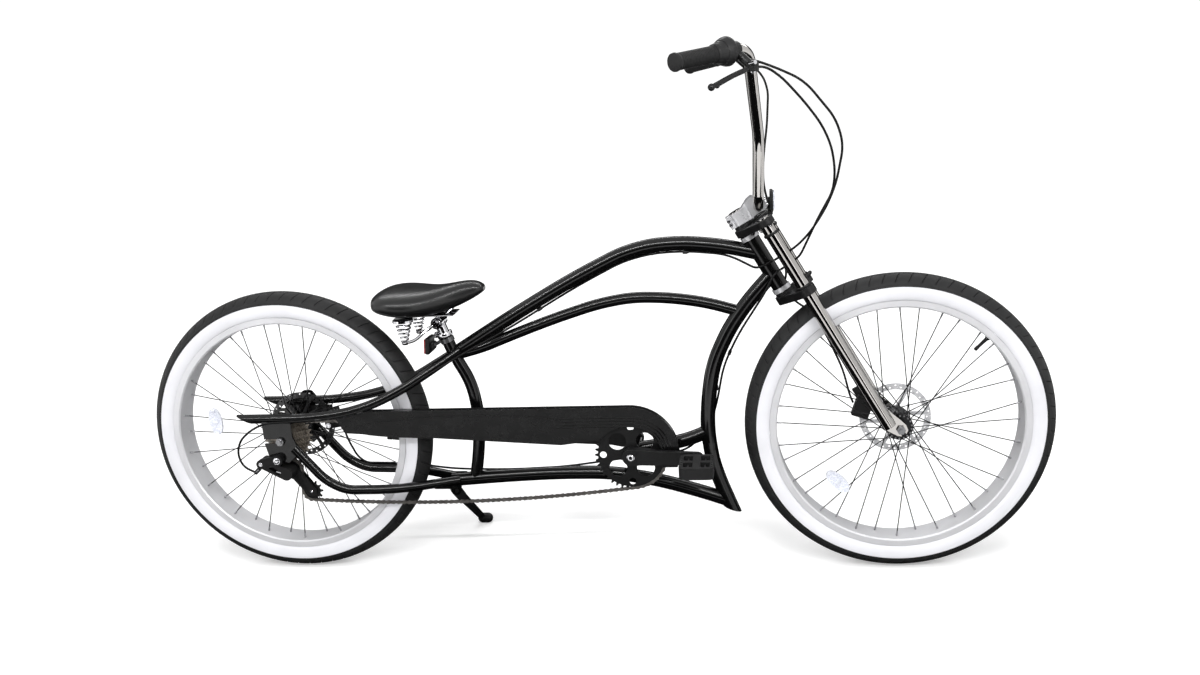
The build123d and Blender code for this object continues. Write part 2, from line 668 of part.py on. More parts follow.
def handlebar():
    path = FilletPolyline(*bar_points(), radius=list(BAR_BENDS) + list(reversed(BAR_BENDS)))
    profile = Plane(origin=path @ 0, z_dir=path % 0) * Circle(BAR_RADIUS)
    return sweep(profile, path=path)


def bar_end_way():
    """Direction along the left grip, towards its outer end."""
    return (BAR_END - BAR_TOP).normalized()


def along_bar(distance):
    """Point on the left grip's line, measured inwards from the bar's end."""
    return BAR_END - bar_end_way() * distance


def sleeve(start, end, radius, bore):
    """Round sleeve on the left grip's line, between two distances from the bar's end."""
    outer = rod(along_bar(end), along_bar(start), radius)
    return outer - rod(along_bar(end + 5), along_bar(start - 5), bore)


def grip():
    """Left rubber grip with its closed end."""
    body = sleeve(0, GRIP_LENGTH, GRIP_RADIUS, BAR_RADIUS)
    cap = rod(along_bar(0), along_bar(-6), GRIP_RADIUS + 1.5)
    return body + cap


def twist_shifter():
    """Bell-shaped twist shifter inboard of the right grip, drawn on the left."""
    start = along_bar(GRIP_LENGTH + 1)
    plane = Plane(origin=start, z_dir=-bar_end_way())
    profile = make_face(Polyline((BAR_RADIUS, 0), (GRIP_RADIUS + 2, 0), (GRIP_RADIUS + 4, 14),
                                 (SHIFTER_RADIUS, 30), (SHIFTER_RADIUS, 37), (SHIFTER_RADIUS - 6, SHIFTER_LENGTH),
                                 (BAR_RADIUS, SHIFTER_LENGTH), close=True))
    body = revolve(Plane.XZ * profile, Axis.Z)
    return plane.location * body


def brake_lever(clamp_at):
    """Left brake lever: clamp, perch and a bent blade with a ball end."""
    middle = along_bar(clamp_at)
    clamp = sleeve(clamp_at - 8, clamp_at + 8, BAR_RADIUS + 5, BAR_RADIUS)
    pivot_at = middle + Vector(36, 12, -33)
    way = (pivot_at - middle).normalized()
    perch = rod(middle + way * (BAR_RADIUS + 1), pivot_at, 9)
    pivot = rod(pivot_at - Vector(0, 0, 9), pivot_at + Vector(0, 0, 9), 12)
    knee = middle + Vector(-2, 50, -47)
    tip = middle + Vector(-42, 88, -67)
    blade = tube((pivot_at, knee, tip), 4.5)
    ball = Pos(*tip) * Sphere(7)
    return clamp + perch + pivot + blade + ball - handlebar()


def front_reflector():
    """White reflector on a bracket over the upper clamp."""
    x, _, z = steered(19, 0, STEM_HEIGHT - 5)
    panel = box((x - 4, -24, z - 20), (x + 3, 24, z + 20))
    foot = on_fork(box((HEAD_X + 38, -9, UPPER_CLAMP_TOP), (8, 9, UPPER_CLAMP_TOP + 5)))
    post = box((x - 9, -7, z - 32), (x - 2, 7, z - 5))
    return panel + foot + post


def caliper(radius, rotor_offset, inner_depth, outer_depth):
    """Disc brake caliper over a rotor, about the wheel's axle, at the top of the disc."""
    gap = 2.5
    low = radius - 22
    high = radius + 16
    body = box((-24, rotor_offset - gap - inner_depth, low),
               (24, rotor_offset + ROTOR_THICKNESS + gap + outer_depth, high))
    mouth = box((-40, rotor_offset - gap, low - 1),
                (40, rotor_offset + ROTOR_THICKNESS + gap, radius + 5))
    return body - mouth


# ---------------------------------------------------------------- drive

def crank_arm(side):
    """Crank arm pointing forward from the spindle, on the left at first."""
    inner = CRANK_INNER
    outer = inner + CRANK_THICKNESS
    plan = make_face(Polyline(
        (-20, BB_WIDTH / 2 + 20), (-20, outer - 6), (0, outer - 4), (24, outer - 5), (60, outer + 1),
        (CRANK_LENGTH + 14, outer + 6), (CRANK_LENGTH + 14, inner + 8), (60, inner + 1), (34, BB_WIDTH / 2 + 20),
        close=True))
    body = extrude(Plane.XY.offset(-30) * plan, amount=60)
    side_view = link((0, 0), 19, (CRANK_LENGTH, 0), 14)
    arm = body & slab(side_view, 0, 200)
    arm -= across(0, 0, outer - 10, outer + 20, 9)
    bolt = across(0, 0, outer - 10, outer - 5, 8)
    pin = across(CRANK_LENGTH, 0, outer - 4, outer + 5 + PEDAL_WIDTH - 10, PEDAL_AXLE_RADIUS)
    return arm + bolt + pin


def pedal():
    """Left platform pedal about its own axle: a flat frame with windows and a round barrel."""
    start = CRANK_INNER + CRANK_THICKNESS + 6 + SWEEP
    outline = Plane.XY * Pos(0, start + PEDAL_WIDTH / 2) * RectangleRounded(PEDAL_LENGTH, PEDAL_WIDTH, 14)
    body = extrude(outline, amount=PEDAL_THICKNESS / 2, both=True)
    for x in (-1, 1):
        for y in (-1, 1):
            window = Pos(x * PEDAL_LENGTH * 0.25, start + PEDAL_WIDTH * (0.5 + y * 0.22), 0)
            body -= window * Box(PEDAL_LENGTH * 0.27, PEDAL_WIDTH * 0.30, PEDAL_THICKNESS * 2)
    bore = across(0, 0, start - 1, start + PEDAL_WIDTH - 6, PEDAL_AXLE_RADIUS + RUNNING)
    return body - bore


def chainring():
    """Toothed ring with a round window between each two arms and one at each arm's end."""
    ring = Pos(0, -CHAIN_LINE, 0) * sprocket(RING_TEETH, RING_THICKNESS)
    for index in range(4):
        angle = radians(45 + 90 * index)
        ring -= across(45 * cos(angle), 45 * sin(angle), -CHAIN_LINE - 5, -CHAIN_LINE + 5, 20.5)
        eye = Rot(0, -90 * index, 0) * across(65, 0, -CHAIN_LINE - 5, -CHAIN_LINE + 5, 8)
        ring -= eye
    ring -= across(0, 0, -CHAIN_LINE - 5, -CHAIN_LINE + 5, SPINDLE_RADIUS)
    boss = across(0, 0, -(BB_WIDTH / 2 + 20), -CHAIN_LINE - RING_THICKNESS / 2, 19)
    return ring + (boss - across(0, 0, -100, 0, SPINDLE_RADIUS))


def tangent(first, second):
    """The straight run of a belt from one wheel to the next; each wheel is (x, z, radius, turn)."""
    x1, z1, r1, s1 = first
    x2, z2, r2, s2 = second
    run = hypot(x2 - x1, z2 - z1)
    way = atan2(z2 - z1, x2 - x1)
    tilt = asin((s1 * r1 - s2 * r2) / run)
    normal = way - pi / 2 + tilt
    return ((x1 + s1 * r1 * cos(normal), z1 + s1 * r1 * sin(normal)),
            (x2 + s2 * r2 * cos(normal), z2 + s2 * r2 * sin(normal)))


def arc_between(wheel, start, end):
    """Arc round a wheel from one tangent point to the next, the way the chain travels."""
    x, z, radius, turn = wheel
    first = atan2(start[1] - z, start[0] - x)
    last = atan2(end[1] - z, end[0] - x)
    sweep_angle = (turn * (last - first)) % (2 * pi)
    middle = first + turn * sweep_angle / 2
    return ThreePointArc(start, (x + radius * cos(middle), z + radius * sin(middle)), end)


def chain_line():
    """The chain's pitch line in X and Z: round the ring, the cog and both pulleys."""
    pulley = pitch_radius(PULLEY_TEETH)
    wheels = [
        (BB_X, BB_Z, pitch_radius(RING_TEETH), 1),
        (0, AXLE_Z, pitch_radius(COG_TEETH), 1),
        (*GUIDE_PULLEY, pulley, -1),
        (*TENSION_PULLEY, pulley, 1),
    ]
    runs = [tangent(wheel, wheels[(index + 1) % 4]) for index, wheel in enumerate(wheels)]
    edges = []
    for index, (start, end) in enumerate(runs):
        if index == 3:
            middle = ((start[0] + end[0]) / 2, (start[1] + end[1]) / 2 - CHAIN_SAG)
            edges.append(ThreePointArc(start, middle, end))
        else:
            edges.append(Line(start, end))
        edges.append(arc_between(wheels[(index + 1) % 4], end, runs[(index + 1) % 4][0]))
    return Wire([edge.edge() for edge in edges])


def chain():
    """One closed loop of links; only its side plates run round the teeth."""
    line = chain_line()
    links = round(line.length / CHAIN_PITCH)
    outer, inner = [], []
    for index in range(2 * links):
        share = index / (2 * links)
        spot = line.position_at(share)
        way = line.tangent_at(share)
        half = (CHAIN_WAIST if index % 2 else CHAIN_HEIGHT) / 2
        outer.append((spot.X + way.Y * half, spot.Y - way.X * half))
        inner.append((spot.X - way.Y * half, spot.Y + way.X * half))
    face = make_face(Polyline(*outer, close=True)) - make_face(Polyline(*inner, close=True))
    left = -CHAIN_LINE + CHAIN_WIDTH / 2
    right = -CHAIN_LINE - CHAIN_WIDTH / 2
    loop = slab(face, right, left)
    wheels = (
        (BB_X, BB_Z, pitch_radius(RING_TEETH) + TOOTH_TIP + SWEEP),
        (0, AXLE_Z, pitch_radius(COG_TEETH) + TOOTH_TIP + SWEEP),
        (*GUIDE_PULLEY, pitch_radius(PULLEY_TEETH) + TOOTH_TIP + FIT),
        (*TENSION_PULLEY, pitch_radius(PULLEY_TEETH) + TOOTH_TIP + FIT),
    )
    for x, z, radius in wheels:
        loop -= across(x, z, right + CHAIN_PLATE, left - CHAIN_PLATE, radius)
    return loop


def derailleur():
    """Rear derailleur: mounting knuckle, a pair of links, a cage and its two pulleys."""
    plate = REAR_DROPOUT_GAP / 2 + DROPOUT_THICKNESS
    cage_out = -CHAIN_LINE - CHAIN_WIDTH / 2 - 1.5
    cage_in = -CHAIN_LINE + CHAIN_WIDTH / 2 + 1.5
    hx, hz = HANGER
    gx, gz = GUIDE_PULLEY
    tx, tz = TENSION_PULLEY
    knee = (hx - 40, hz - 8)
    upper = slab(link((hx, hz), 13, knee, 11), -plate, -plate - 14)
    lower = slab(link(knee, 10, (gx, gz), 15), cage_out, -plate - 12)
    lower -= slab(link((knee[0] + 14, knee[1] - 4), 4, (gx - 18, gz + 4), 5), cage_out + 5, -plate - 20)
    barrel = rod((knee[0], -plate - 6, knee[1] - 4), (knee[0] - 20, -plate - 4, knee[1] - 24), 5)
    cage_face = link((gx, gz), 15, (tx, tz), 13)
    plates = slab(cage_face, cage_out, cage_out - 1.8) + slab(cage_face, cage_in, cage_in + 1.8)
    pins = across(gx, gz, cage_out, cage_in, 3.5) + across(tx, tz, cage_out, cage_in, 3.5)
    pulleys = [Pos(x, -CHAIN_LINE, z) * sprocket(PULLEY_TEETH, 4.0)
               for x, z in (GUIDE_PULLEY, TENSION_PULLEY)]
    return upper + lower + barrel + plates + pins + pulleys


# ---------------------------------------------------------------- chain guard and stand

def guard_outline():
    """Side view of the chain guard: a long panel with a hook over the front of the ring."""
    top = BB_Z + GUARD_TOP_RADIUS
    drop = radians(GUARD_END_ANGLE)
    end = (BB_X + GUARD_END_RADIUS * cos(drop), BB_Z + GUARD_END_RADIUS * sin(drop))
    middle_radius = (GUARD_TOP_RADIUS + GUARD_END_RADIUS) / 2 + 1
    middle = (BB_X + middle_radius * cos(pi / 4), BB_Z + middle_radius * sin(pi / 4))
    inner_end = (end[0] - 34, end[1])
    inner_top = (BB_X + 14, BB_Z + 67)
    inner_start = (BB_X - 69, BB_Z + 39)
    edge = ThreePointArc((BB_X, top), middle, end)
    edge += Line(end, inner_end)
    edge += ThreePointArc(inner_end, inner_top, inner_start)
    edge += Line(inner_start, (BB_X - 160, BB_Z + 28))
    edge += Line((BB_X - 160, BB_Z + 28), (GUARD_BACK + 20, BB_Z + 64))
    edge += Line((GUARD_BACK + 20, BB_Z + 64), (GUARD_BACK, BB_Z + 101))
    edge += Line((GUARD_BACK, BB_Z + 101), (GUARD_BACK + 60, top))
    edge += Line((GUARD_BACK + 60, top), (BB_X, top))
    return make_face(edge)


def chain_guard():
    """Sheet panel outside the chain with a flange turned in along its top and front."""
    outline = guard_outline()
    body = slab(outline, -GUARD_FACE, -GUARD_FACE + GUARD_DEPTH)
    inside = offset(outline, -GUARD_SHEET, kind=Kind.INTERSECTION)
    below = Pos(BB_X, BB_Z) * Circle(GUARD_END_RADIUS - 12)
    below += Pos(BB_X - 500, BB_Z) * Rectangle(1000, 2 * (GUARD_END_RADIUS - 12))
    hollow = slab(inside + (outline & below), -GUARD_FACE + GUARD_SHEET, 0)
    clip_x = GUARD_BACK + 56
    top = BB_Z + GUARD_TOP_RADIUS
    clip = box((clip_x - 9, -GUARD_FACE - 3, top - 6), (clip_x + 9, -GUARD_FACE + 6, top + 8))
    stay = tube([(x, -y, z) for x, y, z in SEAT_STAY_ROUTE], STAY_RADIUS)
    return biggest(body - hollow + clip - stay)


def fold_axis():
    yaw = radians(STAND_YAW)
    return Vector(-sin(yaw), cos(yaw), 0)


def foot_height():
    """Height in the upright drawing at which the foot touches the floor once it leans."""
    half = TYRE_WIDTH / 2
    lean = radians(LEAN)
    return FLOOR_Z + STAND_FOOT_SPREAD * tan(lean) - half * (1 / cos(lean) - 1)


def kickstand():
    """Flat tapered leg on a cross pin, with a rubber foot."""
    pivot = Vector(*STAND_PIVOT)
    foot = Vector(STAND_FOOT_X, STAND_FOOT_SPREAD, foot_height() + STAND_FOOT_RADIUS / cos(radians(LEAN)))
    pin_way = fold_axis()
    reach = foot - pivot
    drop = (reach - pin_way * reach.dot(pin_way)).normalized()
    knuckle_plane = Plane(origin=pivot - pin_way * 8, x_dir=drop, z_dir=pin_way)
    knuckle = extrude(knuckle_plane * link((0, 0), 13, (24, 0), 12), amount=16)
    start = pivot + drop * 24
    way = (foot - start).normalized()
    side = pin_way.cross(way).normalized()
    plane = Plane(origin=start, x_dir=side, z_dir=way)
    root = plane * Rectangle(STAND_LEG_WIDTH * 1.1, STAND_LEG_THICKNESS * 1.2)
    tip = plane.offset((foot - start).length) * Rectangle(STAND_LEG_WIDTH * 0.8, STAND_LEG_THICKNESS)
    leg = loft([root.face(), tip.face()])
    pin = rod(pivot - pin_way * 14, pivot + pin_way * 14, 5)
    toe = foot + Vector(STAND_TOE, 0, 0)
    shoe = Pos(*foot) * Sphere(STAND_FOOT_RADIUS) + Pos(*toe) * Sphere(STAND_FOOT_RADIUS)
    return leg + knuckle + pin + shoe + rod(foot, toe, STAND_FOOT_RADIUS)


def stand_bracket(neighbours):
    """Plate under the chain stays with two ears that hold the fold pin."""
    pivot = Vector(*STAND_PIVOT)
    plane = Plane(origin=pivot, x_dir=(0, 0, 1), z_dir=fold_axis())
    low = CHAIN_STAY_ROUTE[-1][2] - STAY_RADIUS - 3
    body = box((345, -34, low), (398, STAND_PIVOT[1] + 16, low + 6))
    for neighbour in neighbours:
        body -= neighbour
    for side in (-1, 1):
        face = make_face(Polyline((-4, -11), (low - STAND_PIVOT[2] + 3, -16),
                                  (low - STAND_PIVOT[2] + 3, 16), (-4, 11), close=True)) + Circle(11)
        body += extrude(plane.offset(side * 11.5 - 2.5) * face, amount=5)
    return body - rod((pivot - fold_axis() * 30), (pivot + fold_axis() * 30), 5 + RUNNING)


# ---------------------------------------------------------------- cables

SHIFT_CABLE_HEIGHT = HEAD_BOTTOM + 60   # where each passes the head tube, in fork coordinates
BRAKE_CABLE_HEIGHT = HEAD_BOTTOM + 35
HEAD_HUG = HEAD_RADIUS + CABLE_RADIUS + 2
CABLE_STOP = HEAD_HUG + CABLE_RADIUS + SWEEP + FIT
CABLE_STOP_ANGLE = -48.0


def beside_head(radius, angle, height):
    """Point round the steering axis; the angle is from straight ahead."""
    turn = radians(angle)
    return (HEAD_X + radius * cos(turn), radius * sin(turn), height)


def cable(points, neighbours):
    """Cable housing along a route, cut to what it enters and lies on."""
    body = tube(points, CABLE_RADIUS)
    for neighbour in neighbours:
        body = body - neighbour
    return biggest(body)


def control_cables(shifter, lever, front_caliper):
    """Cables that turn with the handlebar, drawn in fork coordinates."""
    shift = [(90, -215, 873), (129, -190, 853), (160, -176, 815), (196, -160, 762), (212, -140, 664),
             (200, -127, 610), (150, -100, 548), (107, -85, 513), (56, -65, 484), (12, -41, 468),
             beside_head(CABLE_STOP, CABLE_STOP_ANGLE, SHIFT_CABLE_HEIGHT)]
    rear_brake = [(123, -222, 839), (147, -190, 824), (162, -179, 790), (176, -160, 726), (183, -140, 667),
                  (178, -120, 617), (160, -100, 570), (136, -85, 535), (84, -66, 502), (30, -46, 462),
                  (8, -38, 446), beside_head(CABLE_STOP, CABLE_STOP_ANGLE, BRAKE_CABLE_HEIGHT)]
    front_brake = [(123, 222, 839), (136, 190, 830), (139, 178, 803), (131, 165, 773), (91, 110, 714),
                   (66, 80, 683), (43, 52, 653), (20, 38, 615), (0, 35, 551), (-30, 27, 512),
                   (-31, 27, 425), (-64, 54, 388), (-56, 58, 345), (-36, 58, 308), (-36, 58, 240),
                   (-44, 54, 156), (-61, 50, 97), (-64, 47, 76)]
    routes = [[steered(*point) for point in points] for points in (shift, rear_brake, front_brake)]
    right_lever = other_side(lever)
    return (cable(routes[0], [shifter]), cable(routes[1], [right_lever]),
            cable(routes[2], [lever, front_caliper]))


def frame_cables(neighbours):
    """Cables that stay on the frame, from the head tube to the rear brake and the derailleur."""
    seat = STAY_RADIUS + CABLE_SEAT
    under = TOP_TUBE_RADIUS + CABLE_SEAT
    before = DOWN_TUBE_RADIUS + CABLE_SEAT
    hx, hz = HANGER
    shift = [steered(*beside_head(HEAD_HUG, CABLE_STOP_ANGLE, SHIFT_CABLE_HEIGHT)),
             steered(*beside_head(HEAD_HUG, -90, SHIFT_CABLE_HEIGHT + 1)),
             steered(*beside_head(HEAD_HUG + 6, -145, SHIFT_CABLE_HEIGHT + 4)),
             (WHEELBASE - 372, 0, 755 - under),
             *[(x, y, z - under) for x, y, z in from_front((-465, 765), (-540, 762), (-605, 746))],
             (708, 0, 691 - under + 2), (575, 0, 613 - under + 4), (530, -19, 575), (450, -30, 536),
             (362, -47 - seat, 491), (300, -61 - seat, 454), (228, -70 - seat, 421), (160, -76 - seat, 403),
             (70, -77 - seat, 394), (-30, -77 - seat, 390), (-69, -86, 371), (-98, -84, 346),
             (-108, -84, 313), (-98, -84, 282), (hx - 59, -84, hz - 31)]
    brake = [steered(*beside_head(HEAD_HUG, CABLE_STOP_ANGLE, BRAKE_CABLE_HEIGHT)),
             steered(*beside_head(HEAD_HUG, -90, BRAKE_CABLE_HEIGHT - 4)),
             steered(*beside_head(HEAD_HUG + 22, -145, HEAD_BOTTOM + 8)),
             (WHEELBASE - 353, -10, 555),
             (WHEELBASE - 407 + before, 0, 480), (WHEELBASE - 420 + before, 0, 410),
             (WHEELBASE - 415, before, 352), (WHEELBASE - 448, before + 2, 299), (936, 24, 272),
             (820, 32, 256), (640, 24, 234), (500, 22, 231), (400, 24, 219 + seat), (340, 41, 218 + seat),
             (270, 72, 218 + seat), (143, 77, 219 + seat), (122, 77, 250), (104, 68, 300), (97, 65, 345)]
    return cable(shift, neighbours), cable(brake, neighbours)


# ---------------------------------------------------------------- assembly

NODES = {}


def node(name, *shapes):
    """Keep a named piece as one or more separate solids."""
    solids = []
    for shape in shapes:
        solids.extend(shape.solids())
    NODES[name] = solids


def build_wheels():
    at_front = Pos(WHEELBASE, 0, AXLE_Z)
    at_rear = Pos(0, 0, AXLE_Z)
    front_half = FRONT_DROPOUT_GAP / 2
    rear_half = REAR_DROPOUT_GAP / 2
    casing, band = tyre(), rim()
    front_hub = hub(FRONT_LEFT_FLANGE, FRONT_RIGHT_FLANGE, front_half - LOCKNUT_LENGTH - FIT,
                    FRONT_AXLE_RADIUS + RUNNING, FRONT_ROTOR_OFFSET, FRONT_RIGHT_FLANGE + 6)
    rear_hub = hub(REAR_LEFT_FLANGE, REAR_RIGHT_FLANGE, rear_half - LOCKNUT_LENGTH - FIT,
                   REAR_AXLE_RADIUS + RUNNING, REAR_ROTOR_OFFSET, -cog_y(0) - COG_PITCH / 2)
    node("front_tyre", at_front * casing)
    node("front_rim", at_front * band)
    node("front_hub_and_spokes", at_front * front_hub)
    node("front_brake_rotor", at_front * rotor(FRONT_ROTOR_OFFSET))
    node("rear_tyre", at_rear * casing)
    node("rear_rim", at_rear * band)
    node("rear_hub_and_spokes", at_rear * rear_hub)
    node("rear_brake_rotor", at_rear * rotor(REAR_ROTOR_OFFSET))
    node("freewheel", at_rear * freewheel(LOCKNUT_RADIUS + 4))
    node("front_axle", at_front * axle(FRONT_AXLE_RADIUS, front_half, DROPOUT_THICKNESS))
    node("rear_axle", at_rear * axle(REAR_AXLE_RADIUS, rear_half, DROPOUT_THICKNESS))


def build_frame():
    down, top, arch, bottom, seat, bb_tube = frame_tubes()
    plate = dropout()
    seat_stay_left = seat_stay(seat, top)
    chain_stay_left = chain_stay(bottom, plate)
    stays = (chain_stay_left, other_side(chain_stay_left))
    node("head_tube", head_tube())
    node("headset_cups", *headset_cups())
    node("down_tube", biggest(down))
    node("top_tube", top)
    node("arch_tube", arch)
    node("bottom_tube", bottom)
    node("seat_tube", seat)
    node("bottom_bracket_tube", bb_tube)
    node("bottom_bracket_shell", bb_shell())
    node("seat_stay_left", seat_stay_left)
    node("seat_stay_right", other_side(seat_stay_left))
    node("chain_stays", *stays)
    node("dropouts", plate, other_side(plate))
    node("tail_eyes", tail_eye(), other_side(tail_eye()))
    node("kickstand_bracket", stand_bracket((*stays, bottom)))
    seat_frame = saddle_frame()
    node("seatpost", seatpost(seat_frame))
    node("saddle", saddle())
    node("saddle_frame", seat_frame)
    node("rear_reflector", biggest(rear_reflector() - seat))
    node("chain_guard", chain_guard())


def build_drive():
    node("chain", chain())
    node("rear_derailleur", derailleur() - other_side(dropout()))
    spindle = across(BB_X, BB_Z, -BB_WIDTH / 2 - 30, BB_WIDTH / 2 + 30, SPINDLE_RADIUS)
    arm = crank_arm(LEFT)
    at_crank = Pos(*SPINDLE)
    node("chainring", at_crank * chainring())
    node("crank_right", (at_crank * other_side(arm)) - spindle)
    node("crank_left", (at_crank * Rot(0, 180, 0) * arm) - spindle)
    node("crank_spindle", spindle)
    platform = pedal()
    node("pedal_right", Pos(BB_X + CRANK_LENGTH, 0, BB_Z) * other_side(platform))
    node("pedal_left", Pos(BB_X - CRANK_LENGTH, 0, BB_Z) * platform)


def build_steering():
    node("fork_legs", *fork_legs())
    node("lower_clamp", lower_clamp())
    node("upper_clamp", upper_clamp())
    node("steerer", steerer())
    block = stem()
    node("stem", block)
    node("handlebar", handlebar())
    node("grips", grip(), other_side(grip()))
    node("twist_shifter", other_side(twist_shifter()))
    lever_at = GRIP_LENGTH + SHIFTER_LENGTH + 12
    node("brake_levers", brake_lever(lever_at), other_side(brake_lever(lever_at)))
    node("front_reflector", biggest(front_reflector() - block))
    at_front = Pos(WHEELBASE, 0, AXLE_Z) * Rot(0, -HEAD_ANGLE - 41, 0)
    body = at_front * caliper(ROTOR_RADIUS, FRONT_ROTOR_OFFSET, 5, 9.5)
    mount = on_fork(box((LEG_X - 34, 46, 56), (LEG_X - 8, 54, 104)))
    leg = on_fork(upright(LEG_X, LEG_SPREAD, 0, LEG_TOP, LEG_RADIUS))
    caliper_body = biggest(body + mount - leg)
    node("front_brake_caliper", caliper_body)
    levers = brake_lever(lever_at)
    node("control_cables", *control_cables(other_side(twist_shifter()), levers, caliper_body))


def build_rear_brake():
    at_rear = Pos(0, 0, AXLE_Z) * Rot(0, 80, 0)
    body = at_rear * caliper(ROTOR_RADIUS, REAR_ROTOR_OFFSET, 5, 11)
    inner = REAR_DROPOUT_GAP / 2
    adapter = box((18, inner - 7, 352), (74, inner, 386))
    node("rear_brake_caliper", body + adapter)
    names = ("head_tube", "down_tube", "top_tube", "arch_tube", "seat_tube", "bottom_tube", "chain_stays",
             "seat_stay_right", "rear_derailleur", "rear_brake_caliper")
    node("frame_cables", *frame_cables([solid for name in names for solid in NODES[name]]))


def build_stand():
    node("kickstand", kickstand())


build_wheels()
build_frame()
build_drive()
build_steering()
build_rear_brake()
build_stand()

# The bicycle leans over, and its origin goes to the floor under the middle of its outline.
leaned = {name: [Rot(-LEAN, 0, 0) * solid for solid in solids] for name, solids in NODES.items()}
extents = [solid.bounding_box() for solids in leaned.values() for solid in solids]
low_x = min(extent.min.X for extent in extents)
high_x = max(extent.max.X for extent in extents)
low_y = min(extent.min.Y for extent in extents)
high_y = max(extent.max.Y for extent in extents)
SHIFT = Vector(-(low_x + high_x) / 2, -(low_y + high_y) / 2, -min(extent.min.Z for extent in extents))

os.makedirs("parts", exist_ok=True)
for name, solids in leaned.items():
    placed = [Pos(*SHIFT) * solid for solid in solids]
    export_step(placed[0] if len(placed) == 1 else Compound(children=placed), f"parts/{name}.step")
print("origin moved by", tuple(round(value, 3) for value in SHIFT))
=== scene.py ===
"""Looks for a stretched chopper cruiser bicycle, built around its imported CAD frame.

Pieces are drawn with the bicycle upright: the rear axle stands over the origin, +X is forward,
+Y is the rider's left, z = 0 is the floor and lengths are millimetres. `finished` then leans each
one over onto the kickstand, where the CAD has it.
"""
import json
from math import asin, atan2, cos, degrees, hypot, pi, radians, sin

import bmesh
import bpy
from mathutils import Matrix, Vector


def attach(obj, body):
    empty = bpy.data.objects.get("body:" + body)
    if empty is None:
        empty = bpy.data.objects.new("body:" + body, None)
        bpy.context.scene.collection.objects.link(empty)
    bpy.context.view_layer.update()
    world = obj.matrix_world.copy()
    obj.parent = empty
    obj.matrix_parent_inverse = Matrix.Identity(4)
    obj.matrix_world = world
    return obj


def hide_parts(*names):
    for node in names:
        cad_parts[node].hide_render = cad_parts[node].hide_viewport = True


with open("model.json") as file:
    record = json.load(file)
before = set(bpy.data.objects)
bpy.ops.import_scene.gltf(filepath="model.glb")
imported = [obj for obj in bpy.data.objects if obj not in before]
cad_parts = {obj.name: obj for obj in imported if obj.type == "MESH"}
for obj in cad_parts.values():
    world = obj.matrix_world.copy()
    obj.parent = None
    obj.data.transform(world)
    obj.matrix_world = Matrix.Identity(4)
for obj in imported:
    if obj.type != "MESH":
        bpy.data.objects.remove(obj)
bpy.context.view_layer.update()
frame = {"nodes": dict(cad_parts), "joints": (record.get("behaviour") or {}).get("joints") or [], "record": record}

# ---------------------------------------------------------------- places taken from the frame

JOINTS = {joint["name"]: joint for joint in frame["joints"]}
TYRE_RADIUS = 0.342
across_way = Vector(JOINTS["rear_wheel_spin"]["axis"])
LEAN = atan2(-across_way.z, across_way.y)
REAR_AXLE = Vector(JOINTS["rear_wheel_spin"]["pos_m"])
LEANED = (Matrix.Translation(REAR_AXLE) @ Matrix.Rotation(-LEAN, 4, "X")
          @ Matrix.Translation((0, 0, -TYRE_RADIUS)))


def upright_place(joint):
    """A joint's place in the upright drawing."""
    return LEANED.inverted() @ Vector(JOINTS[joint]["pos_m"])


UPRIGHT = LEANED @ Matrix.Scale(0.001, 4)
FRONT_AXLE = upright_place("front_wheel_spin") * 1000
REAR_HUB = upright_place("rear_wheel_spin") * 1000
BRACKET = upright_place("crank_spin") * 1000
HEAD_ANGLE = radians(30)
FORK = UPRIGHT @ Matrix.Translation(FRONT_AXLE) @ Matrix.Rotation(-HEAD_ANGLE, 4, "Y")

# ---------------------------------------------------------------- finishes


def shader(name):
    """A new material with a principled shader, its nodes and its links."""
    made = bpy.data.materials.new(name)
    made.use_nodes = True
    tree = made.node_tree
    return made, tree.nodes, tree.links, tree.nodes["Principled BSDF"]


def noise(nodes, links, scale, detail=3.0, roughness=0.5):
    """Noise that follows the object's own place."""
    spot = nodes.new("ShaderNodeTexCoord")
    made = nodes.new("ShaderNodeTexNoise")
    made.inputs["Scale"].default_value = scale
    made.inputs["Detail"].default_value = detail
    made.inputs["Roughness"].default_value = roughness
    links.new(spot.outputs["Object"], made.inputs["Vector"])
    return made.outputs["Fac"]


def between(nodes, links, fac, low, high):
    """A number that runs from low to high with fac."""
    made = nodes.new("ShaderNodeMapRange")
    made.inputs["From Min"].default_value = 0.3
    made.inputs["From Max"].default_value = 0.7
    made.inputs["To Min"].default_value = low
    made.inputs["To Max"].default_value = high
    links.new(fac, made.inputs["Value"])
    return made.outputs["Result"]


def tones(nodes, links, fac, dark, light):
    """A colour that drifts from dark to light with fac."""
    made = nodes.new("ShaderNodeValToRGB")
    made.color_ramp.elements[0].position = 0.3
    made.color_ramp.elements[1].position = 0.7
    made.color_ramp.elements[0].color = (*dark, 1)
    made.color_ramp.elements[1].color = (*light, 1)
    links.new(fac, made.inputs["Fac"])
    return made.outputs["Color"]


def grain(nodes, links, surface, fac, depth):
    """Fine relief, in metres, on a shader."""
    made = nodes.new("ShaderNodeBump")
    made.inputs["Strength"].default_value = 1.0
    made.inputs["Distance"].default_value = depth
    links.new(fac, made.inputs["Height"])
    links.new(made.outputs["Normal"], surface.inputs["Normal"])


